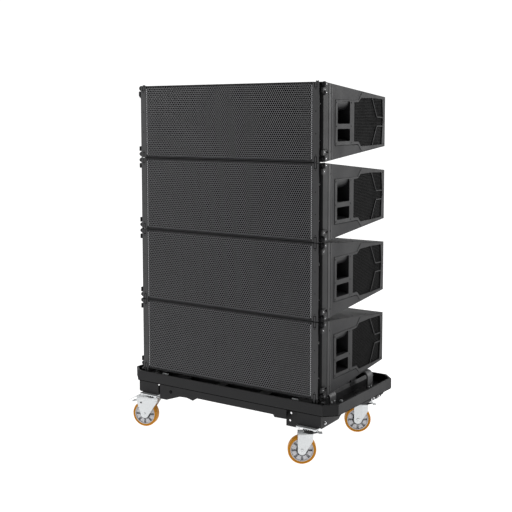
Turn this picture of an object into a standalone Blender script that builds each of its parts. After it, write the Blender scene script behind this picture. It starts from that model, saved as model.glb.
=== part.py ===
"""Line array speaker: four wedge cabinets pinned face to face on a wheeled transport cart.

Metres, +Z up. The origin is on the floor under the middle of the stack, and the grilles face -Y.
Each cabinet is drawn once in its own frame: x across, y back from the grille's face, z up from its base.
"""

import math

import bmesh
import bpy
from mathutils import Matrix, Vector

# Driving dimensions of the stack
CABINETS = 4
FRONT_Y = -0.2711
STACK_Z = 0.292
SEAM = 0.0035
GAP = 0.0003

# Cabinet
HALF_W = 0.500
HEIGHT = 0.338
DEPTH = 0.597
BAND = 0.033
TAPER = 0.054
WALL = 0.016
MID_Z = HEIGHT / 2
RECESS_HALF_W = 0.461
RECESS_MARGIN = 0.004
BAFFLE_FRONT, BAFFLE_BACK = 0.035, 0.053
CAVITY_HALF_W = 0.480

# Rigging at the front corners
STRIP_HALF_W = 0.492
CHANNEL_IN, CHANNEL_FRONT, CHANNEL_BACK = 0.468, 0.003, 0.017
POCKET_X = (0.464, 0.480)
POCKET_BACK = 0.042
POCKET_LOW, POCKET_HIGH = 0.036, 0.313
LINK_X = (0.467, 0.477)
LINK_Y = (0.003, 0.037)
HINGE_Y, HINGE_Z = 0.020, 0.015
SOCKET_DROP = 0.010
PIN_R = 0.006
PIN_CLEARANCE = 0.0004
PIN_HEAD_R, PIN_HEAD_X = 0.0085, (0.5035, 0.5160)

# Rear rigging
REAR_CHANNEL_HALF_W, REAR_CHANNEL_FRONT = 0.036, 0.525
REAR_BLOCK_HALF_W, REAR_BLOCK_FRONT = 0.050, 0.511
REAR_LINK_HALF_T = 0.010
REAR_LINK_Y = (0.556, 0.584)
REAR_LINK_REACH_DOWN, REAR_LINK_REACH_UP = 0.030, 0.060

# Side inserts: handle and vent grille in one pressed panel
INSERT_T = 0.005
INSERT_OUTLINE = (
    (0.1195, 0.066), (0.327, 0.066), (0.352, 0.0565), (0.580, 0.0610),
    (0.580, 0.2780), (0.352, 0.2800), (0.327, 0.265), (0.1195, 0.265),
)
APERTURE_Y = (0.1415, 0.2515)
APERTURE_Z = (0.085, 0.259)
CROSSBAR_Z = (0.139, 0.161)
CROSSBAR_X = (0.468, 0.4997)
CUP_WALL = 0.004
CUP_X = 0.415
CUP_ROOF_DROP = 0.040
VENT_Y, VENT_Z = (0.340, 0.550), (0.088, 0.250)

# Grille, drivers and connector panel
GRILLE_HALF_W, GRILLE_MARGIN, GRILLE_T, GRILLE_LIP = 0.459, 0.006, 0.002, 0.014
WOOFER_X, WOOFER_R, WOOFER_HOLE_R = 0.285, 0.147, 0.137
HORN_HALF_W, HORN_HALF_H, HORN_FLANGE = 0.090, 0.132, 0.014
PANEL_X, PANEL_HALF_H, PANEL_DEPTH = (0.080, 0.320), 0.062, 0.0085
SOCKET_X, SOCKET_SPACING = 0.250, 0.052

# Cart
RIM_HALF_X, RIM_FRONT, RIM_REAR, RIM_CHAMFER = 0.570, -0.009, 0.597, 0.050
RIM_LOW, RIM_HIGH = 0.225, 0.274
SHEET = 0.005
FLOOR_LOW = 0.2285
WELD = 0.002
LEDGE_HALF_X, LEDGE_BACK, LEDGE_TOP = 0.440, 0.075, 0.268
SLOT_Y = (0.010, 0.058)
SLOT_SPANS = ((-0.382, -0.330), (-0.234, -0.066), (-0.019, 0.174), (0.223, 0.374))
LUG_X, LUG_Y, LUG_TOP = (0.4815, 0.4895), (0.004, 0.038), 0.2885
RAIL_X, RAIL_TOP = (0.430, 0.463), 0.265
SADDLES = (
    {"y": (0.100, 0.152), "x": (0.425, 0.497)},
    {"y": (0.410, 0.458), "x": (0.425, 0.520)},
)
SADDLE_T, SADDLE_BEND = 0.006, 0.022
FLOOR_HOLE_X, FLOOR_HOLE_Y, FLOOR_HOLE_R = 0.490, (0.212, 0.350), 0.008

# Legs and skirts under the rim
LEG_LOW, LEG_X, LEG_DEPTH = 0.168, (0.397, 0.514), 0.120
LEG_CORNER = 0.024
LEG_WALL_X, LEG_WALL_SET_BACK = 0.400, 0.021
GUSSET_FRONT = ((0.180, 0.225), (0.170, 0.187), (0.147, 0.172), (-0.002, LEG_LOW), (RIM_FRONT, 0.176))
GUSSET_REAR = (
    (0.300, 0.225), (0.3135, 0.198), (0.390, 0.176), (0.560, 0.1745), (0.583, 0.192), (RIM_REAR, 0.203),
)
BRACE_SET_BACK = 0.020
BRACE = (
    (0.325, 0.146), (0.378, 0.146), (0.378, 0.155), (0.394, 0.155), (0.394, 0.2305), (0.325, 0.2305),
)
BRACE_HOLES, BRACE_HOLE_R = ((0.350, 0.206), (0.344, 0.172)), 0.0055
SKIRT_HALF_X, SKIRT_LOW = 0.338, 0.191
FRONT_SKIRT = (
    (-0.385, 0.1535), (-0.344, 0.1535), (-0.262, 0.182), (-0.221, 0.184), (-0.184, 0.176), (-0.160, 0.191),
    (0.268, 0.191), (0.275, 0.180), (0.338, 0.182), (0.338, 0.227), (-0.385, 0.227),
)

# Casters: two with vee forks and long pedals over the tread, two with straight forks and short pedals
CASTER_X, CASTER_FRONT_Y, CASTER_REAR_Y = 0.448, 0.016, 0.528
PLATE_X, PLATE_Y, PLATE_T = 0.105, 0.090, 0.006
RACE_R, RACE_T, RACE_SUNK = 0.036, 0.010, 0.001
TRAIL = 0.038
WHEEL_R, TYRE_HALF_W, HUB_HALF_W, AXLE_R = 0.0625, 0.019, 0.022, 0.006
TREAD_T = 0.011
FORK_IN, FORK_T = 0.0235, 0.004
FORK_HEAD_T, FORK_BRIDGE_T = 0.006, 0.004
FORK_END_R = 0.019
FORKS = {
    "straight": {"heel": (-0.010, 0.105), "nose": (0.057, 0.120)},
    "vee": {"heel": (-0.031, 0.129), "nose": (0.077, 0.124)},
}
AXLE_OVERHANG, NUT_R, NUT_T = 0.004, 0.010, 0.006
PEDAL_PIVOT_Z, PEDAL_HUB_R = 0.133, 0.006
PEDAL_T, PEDAL_DROP, PEDAL_FOOT = 0.006, 0.0085, 0.026
PEDAL_LONG = {"side": 1, "pivot": 0.050, "reach": 0.125, "z": 0.136}
PEDAL_SHORT = {"side": -1, "pivot": -0.003, "reach": 0.056, "z": 0.142}
LOCKING = {"fork": "vee", "pedal": PEDAL_LONG}
PLAIN = {"fork": "straight", "pedal": PEDAL_SHORT}
CASTERS = {
    "front_left": {"x": -CASTER_X, "y": CASTER_FRONT_Y, "trail_deg": 198.0, **LOCKING},
    "front_right": {"x": CASTER_X, "y": CASTER_FRONT_Y, "trail_deg": 214.0, **PLAIN},
    "rear_left": {"x": -CASTER_X, "y": CASTER_REAR_Y, "trail_deg": 20.0, **LOCKING},
    "rear_right": {"x": CASTER_X, "y": CASTER_REAR_Y, "trail_deg": 214.0, **PLAIN},
}

# Facets of round pieces
FINE, COARSE, PIN_SIDES = 24, 16, 10

# Finishes: colour, roughness, metallic
FINISHES = {
    "cabinet_paint": ((0.070, 0.070, 0.073), 0.62, 0.0),
    "grille_steel": ((0.045, 0.045, 0.048), 0.48, 0.3),
    "insert_paint": ((0.060, 0.060, 0.063), 0.55, 0.0),
    "cone_paper": ((0.020, 0.020, 0.021), 0.80, 0.0),
    "horn_plastic": ((0.018, 0.018, 0.019), 0.45, 0.0),
    "panel_metal": ((0.050, 0.050, 0.053), 0.40, 0.6),
    "link_steel": ((0.060, 0.060, 0.062), 0.42, 0.7),
    "cart_paint": ((0.035, 0.035, 0.037), 0.50, 0.0),
    "zinc": ((0.640, 0.660, 0.680), 0.30, 1.0),
    "tyre_orange": ((0.560, 0.200, 0.006), 0.45, 0.0),
}


def clear_scene():
    for obj in list(bpy.data.objects):
        bpy.data.objects.remove(obj, do_unlink=True)


def new_collection(name, hidden=False):
    group = bpy.data.collections.new(name)
    bpy.context.scene.collection.children.link(group)
    group.hide_render = hidden
    return group


def make_materials():
    made = {}
    for name, (colour, roughness, metallic) in FINISHES.items():
        material = bpy.data.materials.new(name)
        material.use_nodes = True
        shader = material.node_tree.nodes["Principled BSDF"]
        shader.inputs["Base Color"].default_value = (*colour, 1.0)
        shader.inputs["Roughness"].default_value = roughness
        shader.inputs["Metallic"].default_value = metallic
        material.diffuse_color = (*colour, 1.0)
        made[name] = material
    return made


def mesh_from(build, name):
    """A mesh filled by build(bm)."""
    bm = bmesh.new()
    build(bm)
    mesh = bpy.data.meshes.new(name)
    bm.to_mesh(mesh)
    bm.free()
    return mesh


def box_mesh(low, high, name="box"):
    size = [b - a for a, b in zip(low, high)]
    middle = [(a + b) / 2 for a, b in zip(low, high)]

    def build(bm):
        place = Matrix.Translation(middle) @ Matrix.Diagonal((*size, 1.0))
        bmesh.ops.create_cube(bm, size=1.0, matrix=place)

    return mesh_from(build, name)


AXIS_TURNS = {
    "x": Matrix.Rotation(math.pi / 2, 4, "Y"),
    "y": Matrix.Rotation(-math.pi / 2, 4, "X"),
    "z": Matrix.Identity(4),
}


def rod_mesh(axis, centre, radius, length, sides):
    """A cylinder along an axis."""

    def build(bm):
        place = Matrix.Translation(centre) @ AXIS_TURNS[axis]
        bmesh.ops.create_cone(
            bm, cap_ends=True, segments=sides, radius1=radius, radius2=radius, depth=length, matrix=place
        )

    return mesh_from(build, "rod")


def outline_mesh(points, low, high, plane="yz"):
    """A flat outline, drawn as a filled 2D curve, given thickness from low to high across its plane."""
    curve = bpy.data.curves.new("outline", "CURVE")
    curve.dimensions = "2D"
    curve.fill_mode = "BOTH"
    curve.extrude = (high - low) / 2
    spline = curve.splines.new("POLY")
    spline.points.add(len(points) - 1)
    for point, (a, b) in zip(spline.points, points):
        point.co = (a, b, 0.0, 1.0)
    spline.use_cyclic_u = True
    drawn = bpy.data.objects.new("outline", curve)
    bpy.context.scene.collection.objects.link(drawn)
    graph = bpy.context.evaluated_depsgraph_get()
    mesh = bpy.data.meshes.new_from_object(drawn.evaluated_get(graph))
    bpy.data.objects.remove(drawn, do_unlink=True)
    bpy.data.curves.remove(curve)
    bm = bmesh.new()
    bm.from_mesh(mesh)
    bmesh.ops.remove_doubles(bm, verts=bm.verts, dist=1e-5)
    turns = {
        "xy": Matrix.Identity(4),
        "yz": Matrix(((0, 0, 1, 0), (1, 0, 0, 0), (0, 1, 0, 0), (0, 0, 0, 1))),
        "xz": Matrix(((1, 0, 0, 0), (0, 0, -1, 0), (0, 1, 0, 0), (0, 0, 0, 1))),
    }
    middle = (low + high) / 2
    shift = {"xy": (0, 0, middle), "yz": (middle, 0, 0), "xz": (0, middle, 0)}[plane]
    bm.transform(Matrix.Translation(shift) @ turns[plane])
    bmesh.ops.recalc_face_normals(bm, faces=bm.faces)
    bm.to_mesh(mesh)
    bm.free()
    return mesh


def across(outline, low_y, high_y):
    """An outline in X and z given thickness from one depth to another."""
    mesh = outline_mesh(outline, -high_y, -low_y, "xz")
    mesh.transform(Matrix.Scale(-1.0, 4, (0, 1, 0)))
    mesh.flip_normals()
    return mesh


def mirrored(mesh):
    """A copy of a mesh turned over in X, faces still pointing out."""
    copy = mesh.copy()
    copy.transform(Matrix.Scale(-1.0, 4, (1, 0, 0)))
    copy.flip_normals()
    return copy


class Shop:
    """Makes solids from a first shape and a list of cuts and joins, and places their copies."""

    def __init__(self):
        self.parts = new_collection("line_array_speaker")
        self.cutters = new_collection("cutters", hidden=True)
        self.materials = make_materials()

    def solid(self, base, steps, smooth_deg=None):
        """The mesh left after each ("cut" or "join", mesh) step."""
        worker = bpy.data.objects.new("worker", base)
        self.cutters.objects.link(worker)
        helpers = []
        for number, (action, mesh) in enumerate(steps):
            helper = bpy.data.objects.new(f"{action}_{number}", mesh)
            helper.hide_render = True
            helper.display_type = "WIRE"
            self.cutters.objects.link(helper)
            boolean = worker.modifiers.new(helper.name, "BOOLEAN")
            boolean.operation = {"cut": "DIFFERENCE", "join": "UNION"}[action]
            boolean.solver = "EXACT"
            boolean.object = helper
            helpers.append(helper)
        graph = bpy.context.evaluated_depsgraph_get()
        made = bpy.data.meshes.new_from_object(worker.evaluated_get(graph))
        for leftover in (worker, *helpers):
            bpy.data.objects.remove(leftover, do_unlink=True)
        return shaded(made, smooth_deg)

    def turned(self, profile, steps, axis_turn, smooth_deg=35.0):
        """A solid of revolution about local Z from (radius, height) points, run down its outside."""
        mesh = bpy.data.meshes.new("profile")
        points = [(radius, 0.0, height) for radius, height in profile]
        last = len(points) - 1
        edges = [(i, i + 1) for i in range(last)]
        if profile[0][0] > 0.0:
            edges.append((last, 0))
        mesh.from_pydata(points, edges, [])
        worker = bpy.data.objects.new("turning", mesh)
        self.cutters.objects.link(worker)
        screw = worker.modifiers.new("turn", "SCREW")
        screw.steps = steps
        screw.render_steps = steps
        screw.use_merge_vertices = True
        screw.merge_threshold = 0.0001
        graph = bpy.context.evaluated_depsgraph_get()
        made = bpy.data.meshes.new_from_object(worker.evaluated_get(graph))
        bpy.data.objects.remove(worker, do_unlink=True)
        made.transform(axis_turn)
        return shaded(made, smooth_deg)

    def place(self, name, mesh, finish, parent=None, location=(0, 0, 0)):
        obj = bpy.data.objects.new(name, mesh)
        if not mesh.materials:
            mesh.materials.append(self.materials[finish])
        obj.location = location
        obj.parent = parent
        self.parts.objects.link(obj)
        return obj

    def anchor(self, name, location, turn_deg=0.0, parent=None):
        """An empty on a joint's axis."""
        empty = bpy.data.objects.new(name, None)
        empty.location = location
        empty.rotation_euler = (0.0, 0.0, math.radians(turn_deg))
        empty.empty_display_size = 0.05
        empty.parent = parent
        self.parts.objects.link(empty)
        return empty


def shaded(mesh, smooth_deg):
    bm = bmesh.new()
    bm.from_mesh(mesh)
    bmesh.ops.remove_doubles(bm, verts=bm.verts, dist=1e-6)
    bmesh.ops.dissolve_degenerate(bm, edges=bm.edges, dist=1e-6)
    bmesh.ops.recalc_face_normals(bm, faces=bm.faces)
    bm.to_mesh(mesh)
    bm.free()
    if smooth_deg:
        mesh.shade_smooth()
        mesh.set_sharp_from_angle(angle=math.radians(smooth_deg))
    return mesh


def both_sides(low, high):
    """A box on the right and its mirror image on the left."""
    right = box_mesh(low, high)
    return [right, mirrored(right)]


def taper_at(y):
    """How far the top face has dropped, and the bottom face has risen, at this depth."""
    return max(0.0, y - BAND) * TAPER / (DEPTH - BAND)


def wedge(front, back, inset=0.0):
    """The cabinet's side outline between two depths, drawn inset from its top and bottom faces."""
    depths = [front] + [y for y in (BAND,) if front < y < back] + [back]
    lower = [(y, taper_at(y) + inset) for y in depths]
    upper = [(y, HEIGHT - taper_at(y) - inset) for y in reversed(depths)]
    return lower + upper


def pin_heights():
    """Heights of the hinge pin and of the socket that takes the link from above."""
    return HINGE_Z, HEIGHT - SOCKET_DROP


def enclosure_mesh(shop):
    over = 0.02
    steps = []
    for low, high in (
        ((STRIP_HALF_W, -over, -over), (HALF_W + over, CHANNEL_FRONT, HEIGHT + over)),
        ((CHANNEL_IN, CHANNEL_FRONT, -over), (HALF_W + over, CHANNEL_BACK, HEIGHT + over)),
        ((POCKET_X[0], -over, -over), (POCKET_X[1], POCKET_BACK, POCKET_LOW)),
        ((POCKET_X[0], -over, POCKET_HIGH), (POCKET_X[1], POCKET_BACK, HEIGHT + over)),
        ((HALF_W - 0.03, APERTURE_Y[0] - 0.006, 0.079), (HALF_W + over, APERTURE_Y[1] + 0.006, 0.2637)),
        ((HALF_W - 0.03, VENT_Y[0], VENT_Z[0]), (HALF_W + over, VENT_Y[1], VENT_Z[1])),
    ):
        steps += [("cut", mesh) for mesh in both_sides(low, high)]
    recess = box_mesh(
        (-RECESS_HALF_W, -over, RECESS_MARGIN), (RECESS_HALF_W, BAFFLE_FRONT, HEIGHT - RECESS_MARGIN)
    )
    cavity = outline_mesh(wedge(BAFFLE_BACK, DEPTH - WALL, WALL), -CAVITY_HALF_W, CAVITY_HALF_W)
    steps += [("cut", recess), ("cut", cavity)]
    wall_middle = (BAFFLE_FRONT + BAFFLE_BACK) / 2
    for side in (-1, 1):
        centre = (side * WOOFER_X, wall_middle, MID_Z)
        steps.append(("cut", rod_mesh("y", centre, WOOFER_HOLE_R, 0.03, COARSE)))
    horn_low = (-HORN_HALF_W, BAFFLE_FRONT - 0.005, MID_Z - HORN_HALF_H)
    horn_high = (HORN_HALF_W, BAFFLE_BACK + 0.005, MID_Z + HORN_HALF_H)
    steps.append(("cut", box_mesh(horn_low, horn_high)))
    block = outline_mesh(
        wedge(REAR_BLOCK_FRONT, DEPTH - WALL / 2, WALL / 2), -REAR_BLOCK_HALF_W, REAR_BLOCK_HALF_W
    )
    channel = box_mesh(
        (-REAR_CHANNEL_HALF_W, REAR_CHANNEL_FRONT, -over),
        (REAR_CHANNEL_HALF_W, DEPTH + over, HEIGHT + over),
    )
    steps += [("join", block), ("cut", channel)]
    for mesh in both_sides_outline(INSERT_OUTLINE, HALF_W - INSERT_T, HALF_W + over):
        steps.append(("cut", mesh))
    for height in pin_heights():
        for side in (-1, 1):
            centre = (side * (HALF_W - 0.012), HINGE_Y, height)
            steps.append(("cut", rod_mesh("x", centre, PIN_R + PIN_CLEARANCE, 0.05, PIN_SIDES)))
    panel_low = (PANEL_X[0], DEPTH - PANEL_DEPTH, MID_Z - PANEL_HALF_H)
    panel_high = (PANEL_X[1], DEPTH + over, MID_Z + PANEL_HALF_H)
    hole_low = (PANEL_X[0] + 0.02, DEPTH - 0.03, MID_Z - PANEL_HALF_H + 0.015)
    hole_high = (PANEL_X[1] - 0.02, DEPTH + over, MID_Z + PANEL_HALF_H - 0.015)
    steps += [("cut", box_mesh(panel_low, panel_high)), ("cut", box_mesh(hole_low, hole_high))]
    return shop.solid(outline_mesh(wedge(0.0, DEPTH), -HALF_W, HALF_W), steps)


def both_sides_outline(points, low, high):
    right = outline_mesh(points, low, high)
    return [right, mirrored(right)]


def front_grille_mesh(shop):
    low = (-GRILLE_HALF_W, 0.0, GRILLE_MARGIN)
    high = (GRILLE_HALF_W, GRILLE_LIP, HEIGHT - GRILLE_MARGIN)
    inner_low = (-GRILLE_HALF_W + GRILLE_T, GRILLE_T, GRILLE_MARGIN + GRILLE_T)
    inner_high = (GRILLE_HALF_W - GRILLE_T, GRILLE_LIP + 0.01, HEIGHT - GRILLE_MARGIN - GRILLE_T)
    return shop.solid(box_mesh(low, high), [("cut", box_mesh(inner_low, inner_high))])


def side_insert_mesh(shop):
    face = HALF_W - GAP
    outline = shrunk(INSERT_OUTLINE, GAP)
    plate = outline_mesh(outline, HALF_W - INSERT_T + GAP, face)
    cup = box_mesh(
        (CUP_X, APERTURE_Y[0] - CUP_WALL, APERTURE_Z[0] - CUP_WALL),
        (face - 0.002, APERTURE_Y[1] + CUP_WALL, APERTURE_Z[1] + CUP_WALL),
    )
    back = CUP_X + CUP_WALL
    hollow = across(
        (
            (back, APERTURE_Z[0]), (HALF_W + 0.01, APERTURE_Z[0]), (HALF_W + 0.01, APERTURE_Z[1]),
            (face - 0.004, APERTURE_Z[1]), (back, APERTURE_Z[1] - CUP_ROOF_DROP),
        ),
        *APERTURE_Y,
    )
    bar = box_mesh(
        (CROSSBAR_X[0], APERTURE_Y[0] - CUP_WALL / 2, CROSSBAR_Z[0]),
        (CROSSBAR_X[1] - GAP, APERTURE_Y[1] + CUP_WALL / 2, CROSSBAR_Z[1]),
    )
    return shop.solid(plate, [("join", cup), ("cut", hollow), ("join", bar)])


def shrunk(points, margin):
    """An outline drawn in towards its middle by about a margin."""
    middle = [sum(values) / len(points) for values in zip(*points)]
    return [
        tuple(value - math.copysign(margin, value - centre) for value, centre in zip(point, middle))
        for point in points
    ]


def woofer_mesh(shop):
    """Cone, surround, basket and magnet turned about the driver's axis, facing -Y."""
    front = BAFFLE_FRONT - GAP
    back = BAFFLE_FRONT + 0.125
    cap_r, cone_r, surround_r, magnet_r = 0.034, 0.112, 0.128, 0.085
    profile = [
        (0.0, front + 0.044), (cap_r, front + 0.056), (cone_r, front + 0.004), (surround_r, front - 0.006),
        (WOOFER_R, front - 0.006), (WOOFER_R, front), (WOOFER_HOLE_R - 0.003, front),
        (WOOFER_HOLE_R - 0.005, front + 0.028), (magnet_r, front + 0.085), (magnet_r, back), (0.0, back),
    ]
    turned = [(radius, -depth) for radius, depth in profile]
    return shop.turned(turned, COARSE, Matrix.Rotation(math.pi / 2, 4, "X"))


def horn_mesh(shop):
    """Waveguide with a narrow throat slot, its flange on the baffle and its compression driver behind."""
    front = BAFFLE_FRONT - GAP
    reach = 0.004
    flange = box_mesh(
        (-HORN_HALF_W - HORN_FLANGE, front - 0.005, MID_Z - HORN_HALF_H - HORN_FLANGE),
        (HORN_HALF_W + HORN_FLANGE, front, MID_Z + HORN_HALF_H + HORN_FLANGE),
    )
    wall = 0.004
    body = flare_mesh(
        (HORN_HALF_W - reach, HORN_HALF_H - reach, front - 0.002), (0.030, 0.110, front + 0.150)
    )
    hollow = flare_mesh(
        (HORN_HALF_W - reach - wall, HORN_HALF_H - reach - wall, front - 0.008),
        (0.012, 0.100, front + 0.140),
    )
    driver = rod_mesh("y", (0, front + 0.180, MID_Z), 0.075, 0.070, COARSE)
    return shop.solid(flange, [("join", body), ("cut", hollow), ("join", driver)], 35.0)


def flare_mesh(near, far):
    """A block whose front and back ends have different half-sizes: (half width, half height, depth)."""
    mesh = box_mesh((-1, -1, -1), (1, 1, 1), "flare")
    for vertex in mesh.vertices:
        half_w, half_h, y = near if vertex.co.y < 0 else far
        vertex.co = (math.copysign(half_w, vertex.co.x), y, MID_Z + math.copysign(half_h, vertex.co.z))
    return mesh


def rear_panel_mesh(shop):
    inset = DEPTH - PANEL_DEPTH + GAP
    plate = box_mesh(
        (PANEL_X[0] + GAP, inset, MID_Z - PANEL_HALF_H + GAP),
        (PANEL_X[1] - GAP, inset + 0.004, MID_Z + PANEL_HALF_H - GAP),
    )
    steps = []
    for row in (-SOCKET_SPACING / 2, SOCKET_SPACING / 2):
        y = inset + 0.0035
        steps.append(("join", rod_mesh("y", (SOCKET_X, y, MID_Z + row), 0.017, 0.007, COARSE)))
        steps.append(("cut", rod_mesh("y", (SOCKET_X, y + 0.004, MID_Z + row), 0.012, 0.008, PIN_SIDES)))
    return shop.solid(plate, steps, 35.0)


def front_link_mesh(shop):
    """Link plate from a cabinet's hinge pin down to the socket pin of the piece below, both pins on it."""
    lower = -SEAM - SOCKET_DROP
    reach = 0.012
    steps = []
    for height in (HINGE_Z, lower):
        middle = (LINK_X[0] + PIN_HEAD_X[1]) / 2
        length = PIN_HEAD_X[1] - LINK_X[0] - 0.002
        steps.append(("join", rod_mesh("x", (middle, HINGE_Y, height), PIN_R, length, PIN_SIDES)))
        head_middle = sum(PIN_HEAD_X) / 2
        head_t = PIN_HEAD_X[1] - PIN_HEAD_X[0]
        head = rod_mesh("x", (head_middle, HINGE_Y, height), PIN_HEAD_R, head_t, PIN_SIDES)
        steps.append(("join", head))
    low_z, high_z = lower - reach, HINGE_Z + reach
    (front, back), cut = LINK_Y, 0.010
    outline = [
        (front, low_z), (back - cut, low_z), (back, low_z + cut),
        (back, high_z - cut), (back - cut, high_z), (front, high_z),
    ]
    return shop.solid(outline_mesh(outline, *LINK_X), steps, 35.0)


def rear_link_mesh(shop):
    """Bar in the rear channels, its lower end in the cabinet below and its upper end in the one above."""
    low = REAR_LINK_Y[0], -SEAM - TAPER - REAR_LINK_REACH_DOWN
    top_edge = TAPER + REAR_LINK_REACH_UP
    steps = []
    for height in (low[1] + 0.014, top_edge - 0.014):
        middle = sum(REAR_LINK_Y) / 2
        steps.append(("cut", rod_mesh("x", (0, middle, height), 0.006, 0.04, PIN_SIDES)))
    bar = box_mesh(
        (-REAR_LINK_HALF_T, REAR_LINK_Y[0], low[1]), (REAR_LINK_HALF_T, REAR_LINK_Y[1], top_edge)
    )
    return shop.solid(bar, steps, 35.0)


def octagon(inset=0.0):
    """The cart's rim outline in X and y, drawn inset from its outer face."""
    x, front, rear = RIM_HALF_X - inset, RIM_FRONT + inset, RIM_REAR - inset
    cut = RIM_CHAMFER + inset * (math.sqrt(2) - 2)
    right = [(x - cut, front), (x, front + cut), (x, rear - cut), (x - cut, rear)]
    left = [(-a, b) for a, b in reversed(right)]
    return right + left


def cart_tray_mesh(shop):
    steps = [("cut", outline_mesh(octagon(SHEET), RIM_LOW - 0.01, RIM_HIGH + 0.01, "xy"))]
    steps.append(("join", outline_mesh(octagon(SHEET / 2), FLOOR_LOW, FLOOR_LOW + SHEET, "xy")))
    front_in = RIM_FRONT + SHEET / 2
    floor_in = FLOOR_LOW + WELD
    ledge = box_mesh((-LEDGE_HALF_X, front_in, LEDGE_TOP - SHEET), (LEDGE_HALF_X, LEDGE_BACK, LEDGE_TOP))
    web = box_mesh((-LEDGE_HALF_X, LEDGE_BACK - SHEET, floor_in), (LEDGE_HALF_X, LEDGE_BACK, LEDGE_TOP))
    steps += [("join", ledge), ("join", web)]
    for low, high in SLOT_SPANS:
        slot = box_mesh((low, SLOT_Y[0], LEDGE_TOP - 0.02), (high, SLOT_Y[1], LEDGE_TOP + 0.01))
        steps.append(("cut", slot))
    steps += [("join", mesh) for mesh in both_sides(
        (RAIL_X[0], LEDGE_BACK - WELD, floor_in), (RAIL_X[1], RIM_REAR - WELD, RAIL_TOP)
    )]
    for saddle in SADDLES:
        steps += [("join", mesh) for mesh in saddle_pair(**saddle)]
    steps += lug_steps()
    for rear in (False, True):
        steps += leg_steps(rear)
        steps += brace_steps(rear)
    steps.append(("join", across(FRONT_SKIRT, RIM_FRONT, RIM_FRONT + SHEET)))
    steps.append(("join", box_mesh(
        (-SKIRT_HALF_X, RIM_REAR - SHEET, SKIRT_LOW), (SKIRT_HALF_X, RIM_REAR, RIM_LOW + WELD)
    )))
    for y in FLOOR_HOLE_Y:
        for side in (-1, 1):
            centre = (side * FLOOR_HOLE_X, y, FLOOR_LOW)
            steps.append(("cut", rod_mesh("z", centre, FLOOR_HOLE_R, 0.02, PIN_SIDES)))
    return shop.solid(outline_mesh(octagon(), RIM_LOW, RIM_HIGH, "xy"), steps)


def saddle_pair(x, y):
    """Bent straps that cradle the bottom cabinet's sloping base, one on each side."""
    top = STACK_Z + taper_at(y[0]) - 2 * GAP
    low = FLOOR_LOW + WELD
    (inner, outer), t, bend = x, SADDLE_T, SADDLE_BEND
    profile = [
        (inner, low), (inner + t, low), (inner + t, top - t), (outer - bend, top - t),
        (outer - t, top - bend), (outer - t, low), (outer, low), (outer, top - bend),
        (outer - bend / 3, top - bend / 3), (outer - bend, top), (inner, top),
    ]
    right = across(profile, *y)
    return [right, mirrored(right)]


def lug_steps():
    """Upright lugs on the floor that take the bottom cabinet's link pins."""
    steps = []
    for mesh in both_sides((LUG_X[0], LUG_Y[0], FLOOR_LOW + WELD), (LUG_X[1], LUG_Y[1], LUG_TOP)):
        steps.append(("join", mesh))
    pin_z = STACK_Z - SEAM - SOCKET_DROP
    for side in (-1, 1):
        centre = (side * sum(LUG_X) / 2, HINGE_Y, pin_z)
        steps.append(("cut", rod_mesh("x", centre, PIN_R + PIN_CLEARANCE, 0.02, PIN_SIDES)))
    return steps


def leg_steps(rear):
    """A folded corner leg on each side: front plate, foot plate, inner wall and tapering outer gusset."""
    edge, inward = (RIM_REAR, -1) if rear else (RIM_FRONT, 1)
    inner, outer = LEG_X
    top = FLOOR_LOW + WELD
    third = LEG_CORNER / 3

    def depths(near, far):
        return sorted((edge + inward * near, edge + inward * far))

    plate = [
        (inner, LEG_LOW), (outer - LEG_CORNER, LEG_LOW), (outer - third, LEG_LOW + third),
        (outer, LEG_LOW + LEG_CORNER), (outer, top), (inner, top),
    ]
    plate_y, foot_y = depths(0.0, SHEET), depths(0.0, LEG_DEPTH)
    wall_y = depths(LEG_WALL_SET_BACK, LEG_DEPTH)
    foot = box_mesh((inner, foot_y[0], LEG_LOW), (outer - LEG_CORNER, foot_y[1], LEG_LOW + SHEET))
    wall = box_mesh((LEG_WALL_X, wall_y[0], LEG_LOW), (LEG_WALL_X + SHEET, wall_y[1], top))
    lower = GUSSET_REAR if rear else GUSSET_FRONT
    gusset = outline_mesh(((edge, top), (lower[0][0], top)) + lower, outer - SHEET, outer)
    steps = []
    for mesh in (across(plate, *plate_y), foot, wall, gusset):
        steps += [("join", mesh), ("join", mirrored(mesh))]
    return steps


def brace_steps(rear):
    """A drilled plate inboard of the right leg, just behind the rim."""
    edge, inward = (RIM_REAR, -1) if rear else (RIM_FRONT, 1)
    ys = sorted((edge + inward * BRACE_SET_BACK, edge + inward * (BRACE_SET_BACK + SHEET)))
    steps = [("join", across(BRACE, *ys))]
    for x, z in BRACE_HOLES:
        steps.append(("cut", rod_mesh("y", (x, sum(ys) / 2, z), BRACE_HOLE_R, 0.02, PIN_SIDES)))
    return steps


def caster_meshes(shop):
    """Top plate, wheel and both forks in the caster's frame: origin on the floor, trail along +x."""
    plate_top = LEG_LOW - GAP
    plate_low = plate_top - PLATE_T
    plate = box_mesh((-PLATE_X / 2, -PLATE_Y / 2, plate_low), (PLATE_X / 2, PLATE_Y / 2, plate_top))
    race_low = plate_low + RACE_SUNK - RACE_T
    race = rod_mesh("z", (0, 0, race_low + RACE_T / 2), RACE_R, RACE_T, COARSE)
    plate = shop.solid(plate, [("join", race)], 35.0)
    forks = {style: fork_mesh(shop, race_low - GAP, **shape) for style, shape in FORKS.items()}
    return plate, wheel_mesh(shop), forks


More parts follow.
